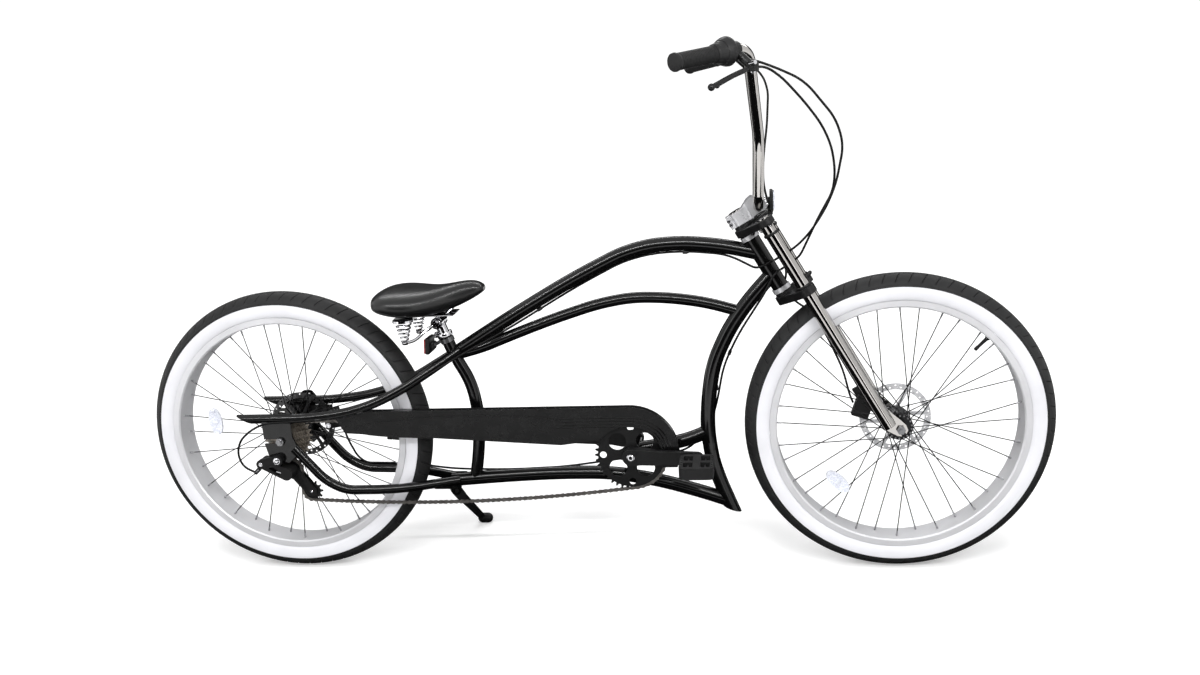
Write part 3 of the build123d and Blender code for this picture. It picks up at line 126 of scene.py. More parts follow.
def finish(name, dark, light, smooth, rough, patch=9.0, relief=0.0, grain_size=900.0, metal=0.0,
           gloss=0.5):
    """A surface whose colour and gloss drift in soft patches, with a fine grain."""
    made, nodes, links, surface = shader(name)
    surface.inputs["Metallic"].default_value = metal
    surface.inputs["Specular IOR Level"].default_value = gloss
    patches = noise(nodes, links, patch)
    links.new(tones(nodes, links, patches, dark, light), surface.inputs["Base Color"])
    wear = noise(nodes, links, patch * 4.3, 5.0, 0.6)
    links.new(between(nodes, links, wear, smooth, rough), surface.inputs["Roughness"])
    if relief:
        grain(nodes, links, surface, noise(nodes, links, grain_size, 2.0), relief)
    return made


def grey(value):
    return (value, value, value * 1.03)


GLOSS_BLACK = finish("gloss_black_enamel", grey(0.0015), grey(0.003), 0.10, 0.15, gloss=0.4)
SATIN_PANEL = finish("satin_black_panel", grey(0.002), grey(0.004), 0.24, 0.32, gloss=0.3)
SATIN_BLACK = finish("satin_black_coating", grey(0.004), grey(0.008), 0.32, 0.44, relief=0.00003,
                     gloss=0.3)
SMOKED_CHROME = finish("smoked_chrome", (0.40, 0.385, 0.37), (0.48, 0.465, 0.45), 0.04, 0.07, metal=1.0)
BRIGHT_CHROME = finish("bright_chrome", grey(0.62), grey(0.72), 0.05, 0.11, metal=1.0)
SILVER = finish("silver_alloy", grey(0.52), grey(0.64), 0.24, 0.36, metal=0.55)
RIM_ALLOY = finish("rim_alloy", grey(0.60), grey(0.68), 0.34, 0.46, metal=0.3)
TYRE_BLACK = finish("tyre_rubber", grey(0.009), grey(0.015), 0.55, 0.70, relief=0.00008, grain_size=1400,
                    gloss=0.3)
WHITE_WALL = finish("white_wall_rubber", (0.66, 0.66, 0.69), (0.74, 0.74, 0.77), 0.45, 0.58,
                    relief=0.00003, gloss=0.35)
SPOKE_BLACK = finish("spoke_black", grey(0.03), grey(0.05), 0.30, 0.40, metal=1.0, patch=30)
DISC_STEEL = finish("disc_steel", grey(0.60), grey(0.72), 0.24, 0.34, metal=0.5)
DARK_DISC = finish("dark_disc_steel", grey(0.10), grey(0.15), 0.28, 0.38, metal=1.0)
AXLE_STEEL = finish("axle_steel", grey(0.34), grey(0.44), 0.25, 0.36, metal=1.0)
COG_STEEL = finish("cog_steel", (0.26, 0.23, 0.20), (0.40, 0.36, 0.31), 0.30, 0.44, metal=0.8, patch=40)
CHAIN_STEEL = finish("chain_steel", (0.16, 0.15, 0.14), (0.26, 0.245, 0.23), 0.28, 0.42, metal=0.85, patch=60)
VINYL = finish("saddle_vinyl", grey(0.004), grey(0.008), 0.27, 0.36, relief=0.00006, grain_size=700,
               gloss=0.42)
GRIP_RUBBER = finish("grip_rubber", grey(0.006), grey(0.011), 0.55, 0.68, relief=0.00006, grain_size=1500,
                     gloss=0.3)
BLACK_PLASTIC = finish("black_plastic", grey(0.006), grey(0.011), 0.40, 0.52, relief=0.00005, grain_size=1200,
                       gloss=0.35)
CLEAR_PLASTIC = finish("clear_reflector", (0.62, 0.64, 0.70), (0.80, 0.82, 0.88), 0.08, 0.16, patch=120)
RED_PLASTIC = finish("red_reflector", (0.22, 0.006, 0.006), (0.36, 0.012, 0.012), 0.08, 0.16, patch=120)
NIPPLE_STEEL = finish("nipple_steel", grey(0.30), grey(0.42), 0.25, 0.35, metal=1.0, patch=40)
CLEAR_PRISMS = finish("clear_prisms", (0.50, 0.52, 0.62), (0.86, 0.88, 0.94), 0.05, 0.12, patch=300)
DARK_STEEL = finish("dark_bracket_steel", grey(0.10), grey(0.16), 0.25, 0.35, metal=0.9, patch=40)
CARD_BLACK = finish("flag_cloth", grey(0.004), grey(0.006), 0.9, 1.0, gloss=0.0)
CABLE_BLACK = finish("cable_housing", grey(0.002), grey(0.004), 0.35, 0.45, patch=40, gloss=0.2)

SLOT_FINISH = {
    "frame_paint": GLOSS_BLACK, "guard_paint": SATIN_PANEL, "satin_black_metal": SATIN_BLACK,
    "smoked_chrome": SMOKED_CHROME, "bright_chrome": BRIGHT_CHROME, "silver_alloy": SILVER,
    "rim_alloy": RIM_ALLOY, "tyre_rubber": TYRE_BLACK, "dark_spoke": SPOKE_BLACK, "disc_steel": DISC_STEEL,
    "dark_disc_steel": DARK_DISC, "axle_steel": AXLE_STEEL, "cog_steel": COG_STEEL,
    "chain_steel": CHAIN_STEEL, "saddle_vinyl": VINYL, "grip_rubber": GRIP_RUBBER,
    "black_plastic": BLACK_PLASTIC, "clear_reflector": CLEAR_PLASTIC, "red_reflector": RED_PLASTIC,
    "cable_black": CABLE_BLACK,
}


def dress_frame():
    """Give each CAD piece the finish of its slot."""
    for row in frame["record"]["subparts"]:
        piece = frame["nodes"][row["node"]]
        piece.data.materials.clear()
        piece.data.materials.append(SLOT_FINISH[row["material_slot"]])


# ---------------------------------------------------------------- making pieces


def finished(name, drawing, body, slot, finishes, place=UPRIGHT, over=(), sharp=35):
    """Make a drawing a piece of the bicycle: in its place, dressed and riding on a body."""
    bmesh.ops.transform(drawing, matrix=place, verts=drawing.verts)
    bmesh.ops.recalc_face_normals(drawing, faces=drawing.faces)
    mesh = bpy.data.meshes.new(name)
    drawing.to_mesh(mesh)
    drawing.free()
    for each in finishes:
        mesh.materials.append(each)
    mesh.shade_smooth()
    mesh.set_sharp_from_angle(angle=radians(sharp))
    made = bpy.data.objects.new(name, mesh)
    bpy.context.scene.collection.objects.link(made)
    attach(made, body)
    if over:
        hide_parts(*over)
    return made


def aim(start, end):
    """Place halfway from start to end, with the piece's own Z along the way."""
    way = Vector(end) - Vector(start)
    middle = (Vector(start) + Vector(end)) / 2
    return Matrix.Translation(middle) @ way.to_track_quat("Z", "Y").to_matrix().to_4x4()


def add_part(drawing, part, places=(Matrix(),), look=0):
    """Add a finished part to a drawing at each place, all its faces in one finish of the drawing's list."""
    if look is not None:
        for face in part.faces:
            face.material_index = look
    mesh = bpy.data.meshes.new("part")
    part.to_mesh(mesh)
    part.free()
    for place in places:
        copy = mesh.copy()
        copy.transform(place)
        drawing.from_mesh(copy)
        bpy.data.meshes.remove(copy)
    bpy.data.meshes.remove(mesh)


def rod(drawing, start, end, radius, tip=None, sides=20, look=0):
    """Round or tapered bar between two points."""
    part = bmesh.new()
    length = (Vector(end) - Vector(start)).length
    bmesh.ops.create_cone(part, cap_ends=True, segments=sides, radius1=radius,
                          radius2=radius if tip is None else tip, depth=length)
    add_part(drawing, part, [aim(start, end)], look)


def ball(drawing, centre, radius):
    part = bmesh.new()
    bmesh.ops.create_uvsphere(part, u_segments=16, v_segments=8, radius=radius)
    add_part(drawing, part, [Matrix.Translation(centre)])


def block(drawing, middle, size, rounding=0.0, look=0, turn=Matrix()):
    """Rectangular block with its edges rounded over."""
    part = bmesh.new()
    bmesh.ops.create_cube(part, size=1, matrix=Matrix.Diagonal((*size, 1)))
    if rounding:
        bmesh.ops.bevel(part, geom=part.edges[:], offset=rounding, segments=2, profile=0.5,
                        affect="EDGES", material=-1)
    add_part(drawing, part, [Matrix.Translation(middle) @ turn], look)


def turned(drawing, outline, place=Matrix(), steps=48, closed=True, look=0):
    """Spin an outline of (radius, height) corners a full turn about the piece's own Z."""
    part = bmesh.new()
    corners = [part.verts.new((radius, 0, height)) for radius, height in outline]
    pairs = list(zip(corners, corners[1:]))
    if closed:
        pairs.append((corners[-1], corners[0]))
    edges = [part.edges.new(pair) for pair in pairs]
    bmesh.ops.spin(part, geom=corners + edges, cent=(0, 0, 0), axis=(0, 0, 1), dvec=(0, 0, 0),
                   angle=2 * pi, steps=steps, use_merge=True)
    bmesh.ops.remove_doubles(part, verts=part.verts, dist=0.03)
    add_part(drawing, part, [place], look)


def wire(drawing, points, radius, sides=3):
    """Round wire that follows a smooth line drawn by its control points."""
    curve = bpy.data.curves.new("wire", "CURVE")
    curve.dimensions = "3D"
    curve.bevel_depth = radius
    curve.bevel_resolution = sides
    curve.use_fill_caps = True
    spline = curve.splines.new("NURBS")
    spline.points.add(len(points) - 1)
    for point, spot in zip(spline.points, points):
        point.co = (*spot, 1)
    spline.order_u = 3
    spline.use_endpoint_u = True
    spline.resolution_u = 6
    holder = bpy.data.objects.new("wire", curve)
    bpy.context.scene.collection.objects.link(holder)
    mesh = bpy.data.meshes.new_from_object(holder)
    part = bmesh.new()
    part.from_mesh(mesh)
    bpy.data.objects.remove(holder)
    bpy.data.curves.remove(curve)
    bpy.data.meshes.remove(mesh)
    add_part(drawing, part)


def bolt(drawing, spot, way, radius, height):
    """Round bolt head on a washer, with a round socket."""
    along = Vector(way).normalized()
    foot = Vector(spot)
    rod(drawing, foot - along * 0.5, foot + along * 0.6, radius * 1.25)
    outline = [(radius, 0.5), (radius, height * 0.8), (radius * 0.86, height), (radius * 0.55, height),
               (radius * 0.5, height * 0.5), (0.01, height * 0.45), (0.01, 0.2), (radius, 0.2)]
    place = Matrix.Translation(foot) @ along.to_track_quat("Z", "Y").to_matrix().to_4x4()
    turned(drawing, outline, place, steps=16, closed=False)


SHARP_EDGE = 32


def softened(node, body, slot, width, finish_of_it):
    """A copy of a CAD piece with its edges rounded over, which stands for it."""
    drawing = bmesh.new()
    drawing.from_mesh(frame["nodes"][node].data)
    bmesh.ops.remove_doubles(drawing, verts=drawing.verts, dist=0.00002)
    bmesh.ops.dissolve_limit(drawing, angle_limit=radians(2), verts=drawing.verts, edges=drawing.edges)
    made = finished(node + "_body", drawing, body, slot, [finish_of_it], place=Matrix(), over=[node],
                    sharp=SHARP_EDGE)
    rounding = made.modifiers.new("rounding", "BEVEL")
    rounding.width = width
    rounding.segments = 2
    rounding.limit_method = "ANGLE"
    rounding.angle_limit = radians(SHARP_EDGE)
    return made


# ---------------------------------------------------------------- wheels

TYRE_HALF = 38
TYRE_MIDDLE = 304
SIPES = 72
SIPE_STEPS = (0, 0.05, 0.27, 0.5, 0.73, 0.95)
SIPE_DEPTH = 1.9
SIPE_START, SIPE_END = 8, 55
SIPE_SLANT = 2.3
WALL_START = 72
SECTION = (118, 112, 104, 96, 88, 80, 75, 73, 72, 71, 68, 65, 64, 63, 62, 60, 57, 54, 50, 42, 34, 26, 18,
           12, 9, 6, 3)


def swell(angle):
    """How far the tyre's skin stands out from its round section at an angle from the crown."""
    if 61.5 < angle < 64.5:
        return 0.5
    if 72.5 < angle < 113:
        return 0.5
    if angle < 4:
        return -0.4
    return 0.0


def tyre(wheel, centre):
    """Tread with slanted cuts, a plain shoulder with a fine ridge, and a white band down to the rim."""
    drawing = bmesh.new()
    corners = []
    for angle in [*(-each for each in SECTION), 0, *reversed(SECTION)]:
        reach = TYRE_HALF + swell(abs(angle)) - (0.5 if abs(angle) > 113 else 0)
        turn = radians(angle)
        corners.append(drawing.verts.new((0, reach * sin(turn), TYRE_MIDDLE + reach * cos(turn))))
    edges = [drawing.edges.new(pair) for pair in zip(corners, [*corners[1:], corners[0]])]
    bmesh.ops.spin(drawing, geom=corners + edges, cent=(0, 0, 0), axis=(0, 1, 0), dvec=(0, 0, 0),
                   angle=2 * pi, steps=SIPES * len(SIPE_STEPS), use_merge=True)
    bmesh.ops.remove_doubles(drawing, verts=drawing.verts, dist=0.001)
    pitch = 360 / SIPES
    for vert in drawing.verts:
        radius = hypot(vert.co.x, vert.co.z)
        from_crown = degrees(atan2(vert.co.y, radius - TYRE_MIDDLE))
        reach = hypot(vert.co.y, radius - TYRE_MIDDLE)
        column = round(degrees(atan2(vert.co.z, vert.co.x)) / pitch * len(SIPE_STEPS))
        whole, step = divmod(column, len(SIPE_STEPS))
        inward = min(max((abs(from_crown) - SIPE_START) / (SIPE_END - SIPE_START), 0), 1.4)
        around = radians((whole + SIPE_STEPS[step]) * pitch + SIPE_SLANT * inward)
        if step == 0 and SIPE_START < abs(from_crown) < SIPE_END:
            reach -= SIPE_DEPTH
        radius = TYRE_MIDDLE + reach * cos(radians(from_crown))
        vert.co = (radius * cos(around), reach * sin(radians(from_crown)), radius * sin(around))
    for face in drawing.faces:
        spot = face.calc_center_median()
        angle = degrees(atan2(abs(spot.y), hypot(spot.x, spot.z) - TYRE_MIDDLE))
        face.material_index = int(angle > WALL_START)
    finished(f"{wheel}_tyre_tread", drawing, f"{wheel}_wheel", "tyre_rubber", [TYRE_BLACK, WHITE_WALL],
             place=UPRIGHT @ Matrix.Translation(centre), over=[f"{wheel}_tyre"], sharp=50)


def spoke_ends(left_flange, right_flange):
    """Both ends of each spoke, from the hub's middle."""
    for side, flange, turn in ((1, left_flange, 0), (-1, right_flange, 10)):
        for index in range(18):
            lead = 1 if index % 2 else -1
            first = radians(index * 20 + turn)
            last = first + lead * radians(60)
            yield (Vector((26.4 * cos(first), side * flange + lead * 1.4, 26.4 * sin(first))),
                   Vector((269.6 * cos(last), side * 12 + lead * 1.4, 269.6 * sin(last))))


def nipples(wheel, centre, left_flange, right_flange):
    """Spoke nipples at the rim and the bent spoke heads at the hub's flanges."""
    drawing = bmesh.new()
    for inner, outer in spoke_ends(left_flange, right_flange):
        way = (outer - inner).normalized()
        rod(drawing, outer - way * 13, outer - way * 1, 1.7, 2.3, sides=8)
        out = Vector((0, 1 if inner.y > 0 else -1, 0))
        rod(drawing, inner - out * 4.5, inner + out * 4.5, 1.9, sides=8)
    finished(f"{wheel}_spoke_nipples", drawing, f"{wheel}_wheel", "dark_spoke", [NIPPLE_STEEL],
             place=UPRIGHT @ Matrix.Translation(centre))


def valve(wheel, centre, angle):
    """Black rubber valve with a cap, pointing at the hub."""
    drawing = bmesh.new()
    turned(drawing, [(0.01, -272), (6, -272), (6, -268), (4.2, -265), (3.6, -244), (3.0, -243), (4.1, -242),
                     (4.1, -233), (3.2, -231.5), (0.01, -231.5)],
           Matrix.Rotation(radians(-90 - angle), 4, "Y"), steps=16, closed=False)
    finished(f"{wheel}_valve", drawing, f"{wheel}_wheel", "black_plastic", [BLACK_PLASTIC],
             place=UPRIGHT @ Matrix.Translation(centre))


def spoke_reflector(wheel, centre, spot, turn):
    """Clear oval reflector clipped between two spokes, with a pale rim round its prisms."""
    drawing = bmesh.new()
    bmesh.ops.create_circle(drawing, cap_ends=True, segments=32, radius=1)
    for vert in drawing.verts:
        vert.co.x = 33 * abs(vert.co.x) ** 0.8 * (1 if vert.co.x > 0 else -1)
        vert.co.y *= 15.5
    body = bmesh.ops.extrude_face_region(drawing, geom=drawing.faces[:])
    lifted = [item for item in body["geom"] if isinstance(item, bmesh.types.BMVert)]
    bmesh.ops.translate(drawing, verts=lifted, vec=(0, 0, 6))
    top = [face for face in drawing.faces if face.calc_center_median().z > 5.9]
    bmesh.ops.inset_region(drawing, faces=top, thickness=2.2)
    bmesh.ops.translate(drawing, verts=list({vert for face in top for vert in face.verts}), vec=(0, 0, -1))
    for face in top:
        face.material_index = 1
    block(drawing, (0, 0, 6.4), (9, 13, 2), 0.6)
    for end in (-1, 1):
        rod(drawing, (end * 29, 0, 2), (end * 29, 0, 7.4), 4)
    place = (UPRIGHT @ Matrix.Translation(centre) @ Matrix.Translation(spot)
             @ Matrix.Rotation(radians(turn), 4, "Y") @ Matrix.Rotation(radians(90), 4, "X"))
    finished(f"{wheel}_spoke_reflector", drawing, f"{wheel}_wheel", "clear_reflector",
             [CLEAR_PLASTIC, CLEAR_PRISMS], place=place)


def build_wheels():
    for wheel, centre, flanges, valve_angle in (("front", FRONT_AXLE, (27, 34), 45),
                                                ("rear", REAR_HUB, (40, 28), -5)):
        tyre(wheel, centre)
        nipples(wheel, centre, *flanges)
        valve(wheel, centre, valve_angle)
    spoke_reflector("front", FRONT_AXLE, (-134, -20, -132), 45)
    spoke_reflector("rear", REAR_HUB, (-182, -20, 34), 84)


# ---------------------------------------------------------------- saddle

SADDLE_RINGS = ((243, 44, 645, 668), (247, 74, 638, 675), (262, 98, 631, 684), (292, 113, 623, 689),
                (330, 112, 618, 687), (372, 86, 618, 684), (412, 55, 627, 689), (448, 37, 641, 696),
                (476, 29, 656, 696), (492, 21, 667, 688), (496, 12, 672, 682))


def saddle_cover():
    """Moulded cover: rings from the tail to the nose, bridged and smoothed."""
    drawing = bmesh.new()
    loops = []
    for x, half_width, low, high in SADDLE_RINGS:
        ring = bmesh.ops.create_circle(drawing, segments=20, radius=1)["verts"]
        for vert in ring:
            across, up = vert.co.x, vert.co.y
            lift = abs(up) ** 0.72 * (1 if up > 0 else -1)
            spread = abs(across) ** 0.86 * (1 if across > 0 else -1)
            crown = (high - low) / 2 * lift
            if up < 0:
                crown *= 0.86 + 0.14 * abs(across)
            vert.co = (x, half_width * spread, (low + high) / 2 + crown)
        loops.append(ring)
    edges = [edge for edge in drawing.edges]
    for first, second in zip(loops, loops[1:]):
        pair = set(first) | set(second)
        between_them = [edge for edge in edges if set(edge.verts) <= pair]
        bmesh.ops.bridge_loops(drawing, edges=between_them)
    for ring in (loops[0], loops[-1]):
        cap = drawing.faces.new(ring)
        bmesh.ops.inset_individual(drawing, faces=[cap], thickness=4, depth=0)
    cover = finished("saddle_cover", drawing, "frame", "saddle_vinyl", [VINYL], over=["saddle"], sharp=180)
    smoothing = cover.modifiers.new("smoothing", "SUBSURF")
    smoothing.levels = 2
    smoothing.render_levels = 2


def coil(drawing, centre, foot_z, top_z, foot_radius, top_radius, turns, thickness):
    """Conical spring that widens upwards."""
    steps = int(turns * 12)
    points = []
    for step in range(steps + 1):
        share = step / steps
        radius = foot_radius + (top_radius - foot_radius) * share
        angle = 2 * pi * turns * share
        points.append((centre[0] + radius * cos(angle), centre[1] + radius * sin(angle),
                       foot_z + (top_z - foot_z) * share))
    wire(drawing, points, thickness, sides=2)


def saddle_springs():
    """Chromed rails, the two conical springs with their cups, and the clamp on the post."""
    drawing = bmesh.new()
    for side in (-1, 1):
        centre = (316, side * 58)
        coil(drawing, centre, 566, 618, 6, 20, 6, 2.1)
        cup = Matrix.Translation((*centre, 0))
        turned(drawing, [(0.01, 624), (19, 624), (24, 620), (24, 615), (22, 615), (21, 618), (0.01, 619)],
               cup, closed=False)
        turned(drawing, [(0.01, 562), (6, 562), (8, 565), (8, 568), (0.01, 569)], cup, closed=False, steps=20)
        wire(drawing, [(316, side * 58, 567), (335, side * 55, 566), (360, side * 36, 590),
                       (383, side * 19, 602), (400, side * 17, 620), (424, side * 14, 640),
                       (436, side * 13, 648)], 3.6)
    rod(drawing, (434, -16, 649), (434, 16, 649), 4)
    block(drawing, (378, 0, 622), (96, 74, 3), 1.2)
    post = Vector((383, 0, 602))
    for side in (-1, 1):
        rod(drawing, post + Vector((0, side * 15, 0)), post + Vector((0, side * 26, 0)), 13.5)
        rod(drawing, post + Vector((0, side * 26, 0)), post + Vector((0, side * 29, 0)), 10, 9)
        rod(drawing, post + Vector((0, side * 29, 0)), post + Vector((0, side * 34, 0)), 6.5, sides=6)
    finished("saddle_springs_and_rails", drawing, "frame", "bright_chrome", [BRIGHT_CHROME],
             over=["saddle_frame"])


# ---------------------------------------------------------------- chain

LINK_PITCH = 12.7
CHAIN_Y = -50


def pitch_radius(teeth):
    return LINK_PITCH / (2 * sin(pi / teeth))


def belt_path():
    """The chain's pitch line as closely spaced points: round the ring, the cog and both pulleys."""
    wheels = [(BRACKET.x, BRACKET.z, pitch_radius(40), 1), (0, REAR_HUB.z, pitch_radius(20), 1),
              (8, 264, pitch_radius(11), -1), (50, 208, pitch_radius(11), 1)]
    runs = []
    for first, second in zip(wheels, [*wheels[1:], wheels[0]]):
        gap = hypot(second[0] - first[0], second[1] - first[1])
        normal = (atan2(second[1] - first[1], second[0] - first[0]) - pi / 2
                  + asin((first[3] * first[2] - second[3] * second[2]) / gap))
        runs.append([(x + turn * radius * cos(normal), z + turn * radius * sin(normal))
                     for x, z, radius, turn in (first, second)])
    points = []
    for index, (start, end) in enumerate(runs):
        sag = 19 if index == 3 else 0
        for step in range(60):
            share = step / 60
            points.append((start[0] + (end[0] - start[0]) * share,
                           start[1] + (end[1] - start[1]) * share - 4 * sag * share * (1 - share)))
        x, z, radius, turn = wheels[(index + 1) % 4]
        onward = runs[(index + 1) % 4][0]
        first = atan2(end[1] - z, end[0] - x)
        sweep = (turn * (atan2(onward[1] - z, onward[0] - x) - first)) % (2 * pi)
        for step in range(40):
            angle = first + turn * sweep * step / 40
            points.append((x + radius * cos(angle), z + radius * sin(angle)))
    return points


def link_places():
    """One place for each chain link, evenly spread along the closed line."""
    path = belt_path()
    path.append(path[0])
    lengths = [0]
    for first, second in zip(path, path[1:]):
        lengths.append(lengths[-1] + hypot(second[0] - first[0], second[1] - first[1]))
    links = 2 * round(lengths[-1] / LINK_PITCH / 2)
    pins = []
    spot = 0
    for index in range(links):
        target = lengths[-1] * index / links
        while lengths[spot + 1] < target:
            spot += 1
        share = (target - lengths[spot]) / (lengths[spot + 1] - lengths[spot])
        (x1, z1), (x2, z2) = path[spot], path[spot + 1]
        pins.append((x1 + (x2 - x1) * share, z1 + (z2 - z1) * share))
    for first, second in zip(pins, [*pins[1:], pins[0]]):
        yield (Matrix.Translation(((first[0] + second[0]) / 2, CHAIN_Y, (first[1] + second[1]) / 2))
               @ Matrix.Rotation(-atan2(second[1] - first[1], second[0] - first[0]), 4, "Y"))


def link_drawing(outside):
    """Two waisted side plates, with rollers between the inner ones and rivets through the outer ones."""
    drawing = bmesh.new()
    plate = 3.3 if outside else 2.2
    for side in (-1, 1):
        ring = bmesh.ops.create_circle(drawing, cap_ends=True, segments=12, radius=4.5,
                                       matrix=Matrix.Translation((0, side * plate, 0))
                                       @ Matrix.Rotation(pi / 2, 4, "X"))
        for vert in ring["verts"]:
            if abs(vert.co.x) < 0.5:
                vert.co.z *= 0.55
            else:
                vert.co.x += 6.35 * (1 if vert.co.x > 0 else -1)
    bmesh.ops.solidify(drawing, geom=drawing.faces[:], thickness=0.9)
    for end in (-1, 1):
        if outside:
            rod(drawing, (end * 6.35, -3.9, 0), (end * 6.35, 3.9, 0), 1.7, sides=6)
        else:
            rod(drawing, (end * 6.35, -1.7, 0), (end * 6.35, 1.7, 0), 3.5, sides=8)
    return drawing


def chain_links():
    drawing = bmesh.new()
    places = list(link_places())
    add_part(drawing, link_drawing(True), places[0::2])
    add_part(drawing, link_drawing(False), places[1::2])
    finished("chain_links", drawing, "frame", "chain_steel", [CHAIN_STEEL], over=["chain"])


# ---------------------------------------------------------------- rounded castings

CASTINGS = (("crank_right", "cranks", "satin_black_metal", 2.2),
            ("crank_left", "cranks", "satin_black_metal", 2.2),
            ("stem", "steering", "silver_alloy", 1.6), ("upper_clamp", "steering", "satin_black_metal", 1.6),
            ("lower_clamp", "steering", "satin_black_metal", 1.6),
            ("front_brake_caliper", "steering", "satin_black_metal", 2.0),
            ("rear_brake_caliper", "frame", "satin_black_metal", 2.0),
            ("rear_derailleur", "frame", "satin_black_metal", 0.8),
            ("kickstand", "kickstand", "satin_black_metal", 1.5), ("dropouts", "frame", "frame_paint", 0.8),
            ("chain_guard", "frame", "guard_paint", 0.6))


def build_castings():
    for node, body, slot, rounding in CASTINGS:
        softened(node, body, slot, rounding / 1000, SLOT_FINISH[slot])


# ---------------------------------------------------------------- head and handlebar


def head_bolts():
    """Bright clamp bolts on both triple clamps and the bolts of the stem."""
    drawing = bmesh.new()
    for x, z in ((-10, 543), (-52, 541), (-33, 536), (-10, 374), (-48, 374)):
        reach = 72 if x > -20 else 30
        for side in (-1, 1):
            way = (0.12, side, 0)
            bolt(drawing, (x, side * reach, z), way, 4.4, 5)
    for z in (548, 553):
        turned(drawing, [(15, z), (23, z), (24, z + 1), (24, z + 2.4), (23, z + 3), (15, z + 3)],
               Matrix.Translation((-63, 0, 0)))
    for side in (-1, 1):
        for x, z in ((-84, 578), (-84, 588)):
            bolt(drawing, (x, side * 13.5, z), (0, side, 0), 3.4, 4)
        for z in (576, 590):
            bolt(drawing, (4.5, side * 17, z), (1, 0, 0.1), 3.2, 3.5)
    finished("head_bolts", drawing, "steering", "bright_chrome", [BRIGHT_CHROME], place=FORK)


def leg_trim():
    """Black dust rings at the clamps, a cable clip on the leg and its caps."""
    drawing = bmesh.new()
    for side in (-1, 1):
        leg = Matrix.Translation((-17, side * 60, 0))
        for low, high, reach in ((386, 392, 17.2), (520, 526, 17.2), (570.5, 573, 13)):
            turned(drawing, [(14, low), (reach, low), (reach + 0.8, (low + high) / 2), (reach, high),
                             (14, high)], leg, steps=32)
    rod(drawing, (-1, -60, 404), (9, -60, 408), 6, 4.5)
    ball(drawing, (9, -60, 408), 4.6)
    finished("leg_rings", drawing, "steering", "satin_black_metal", [SATIN_BLACK], place=FORK)


BAR_SEAT = Vector((1420 - 13 * cos(HEAD_ANGLE) - 583 * sin(HEAD_ANGLE), 0,
                   342 - 13 * sin(HEAD_ANGLE) + 583 * cos(HEAD_ANGLE)))


def grip_place(side):
    """Place at one end of the handlebar, with the piece's own Z running inwards along it."""
    end = BAR_SEAT + Vector((-151, side * 326, 304))
    knee = BAR_SEAT + Vector((-16, side * 178, 328))
    return Matrix.Translation(end) @ (knee - end).to_track_quat("Z", "X").to_matrix().to_4x4()


def grips():
    """Rubber grips with an end flange, fine grooves and a collar at the inner end."""
    for side, name in ((1, "left"), (-1, "right")):
        drawing = bmesh.new()
        outline = [(0.01, -6), (14, -6), (17.2, -4.5), (17.6, -1), (16.6, 3), (15.2, 5)]
        for index in range(22):
            start = 8 + index * 3.9
            outline += [(15.2, start), (16, start + 0.7), (16, start + 2.6), (15.2, start + 3.2)]
        outline += [(15.4, 95), (16.6, 97), (16.6, 100), (11.2, 100)]
        turned(drawing, outline, steps=40, closed=False)
        finished(f"{name}_grip", drawing, "steering", "grip_rubber", [GRIP_RUBBER],
                 place=UPRIGHT @ grip_place(side), over=["grips"])


def shifter():
    """Bell-shaped twist shifter with finger ribs, an index band and its cable boss."""
    drawing = bmesh.new()
    turned(drawing, [(11.3, 101), (17, 101), (18.6, 103), (19.4, 110), (21, 118), (25, 127), (28, 134),
                     (28.4, 139), (26.5, 143), (22, 146.5), (11.3, 147)], steps=56)
    for index in range(16):
        angle = 2 * pi * index / 16
        way = Vector((cos(angle), sin(angle), 0))
        rod(drawing, way * 17.2 + Vector((0, 0, 103)), way * 19.6 + Vector((0, 0, 120)), 1.5, sides=8)
    turned(drawing, [(20, 121.5), (23.6, 121.5), (25.6, 126), (22, 126)], steps=56)
    block(drawing, (0, -22, 137), (18, 16, 16), 3)
    finished("shifter_bell", drawing, "steering", "black_plastic", [BLACK_PLASTIC],
             place=UPRIGHT @ grip_place(-1), over=["twist_shifter"])


def lever_fittings():
    """Silver cable adjusters and pivot bolts."""
    drawing = bmesh.new()
    for side in (-1, 1):
        middle = BAR_SEAT + Vector((-16, side * 178, 328)).lerp(Vector((-151, side * 326, 304)), 0.21)
        pivot = middle + Vector((36, side * 12, -33))
        bolt(drawing, pivot + Vector((0, 0, 9)), (0, 0, 1), 5, 3)
        bolt(drawing, pivot - Vector((0, 0, 9)), (0, 0, -1), 5, 3)
        rod(drawing, pivot + Vector((-6, side * 9, 6)), pivot + Vector((4, side * 21, 8)), 4.2, sides=12)
    finished("lever_fittings", drawing, "steering", "bright_chrome", [BRIGHT_CHROME])


def front_lamp_reflector():
    """Upright clear reflector in a black frame on its bent bracket."""
    drawing = bmesh.new()
    place = Matrix.Translation((19, 0, 578)) @ Matrix.Rotation(HEAD_ANGLE, 4, "Y")
    shell = bmesh.new()
    block(shell, (-1.5, 0, 0), (7, 50, 42), 2)
    block(shell, (3, 0, 0), (4, 45, 37), 1.2, look=1)
    block(shell, (-8, 0, -6), (8, 15, 24), 1.5)
    add_part(drawing, shell, [place], look=None)
    wire(drawing, [(12, 0, 566), (6, 0, 556), (-6, 0, 553), (-24, 0, 552.5)], 4.2)
    finished("front_reflector_lens", drawing, "steering", "clear_reflector", [BLACK_PLASTIC, CLEAR_PRISMS],
             place=FORK, over=["front_reflector"])


# ---------------------------------------------------------------- trim on the frame


BEAD_Y = -62.3


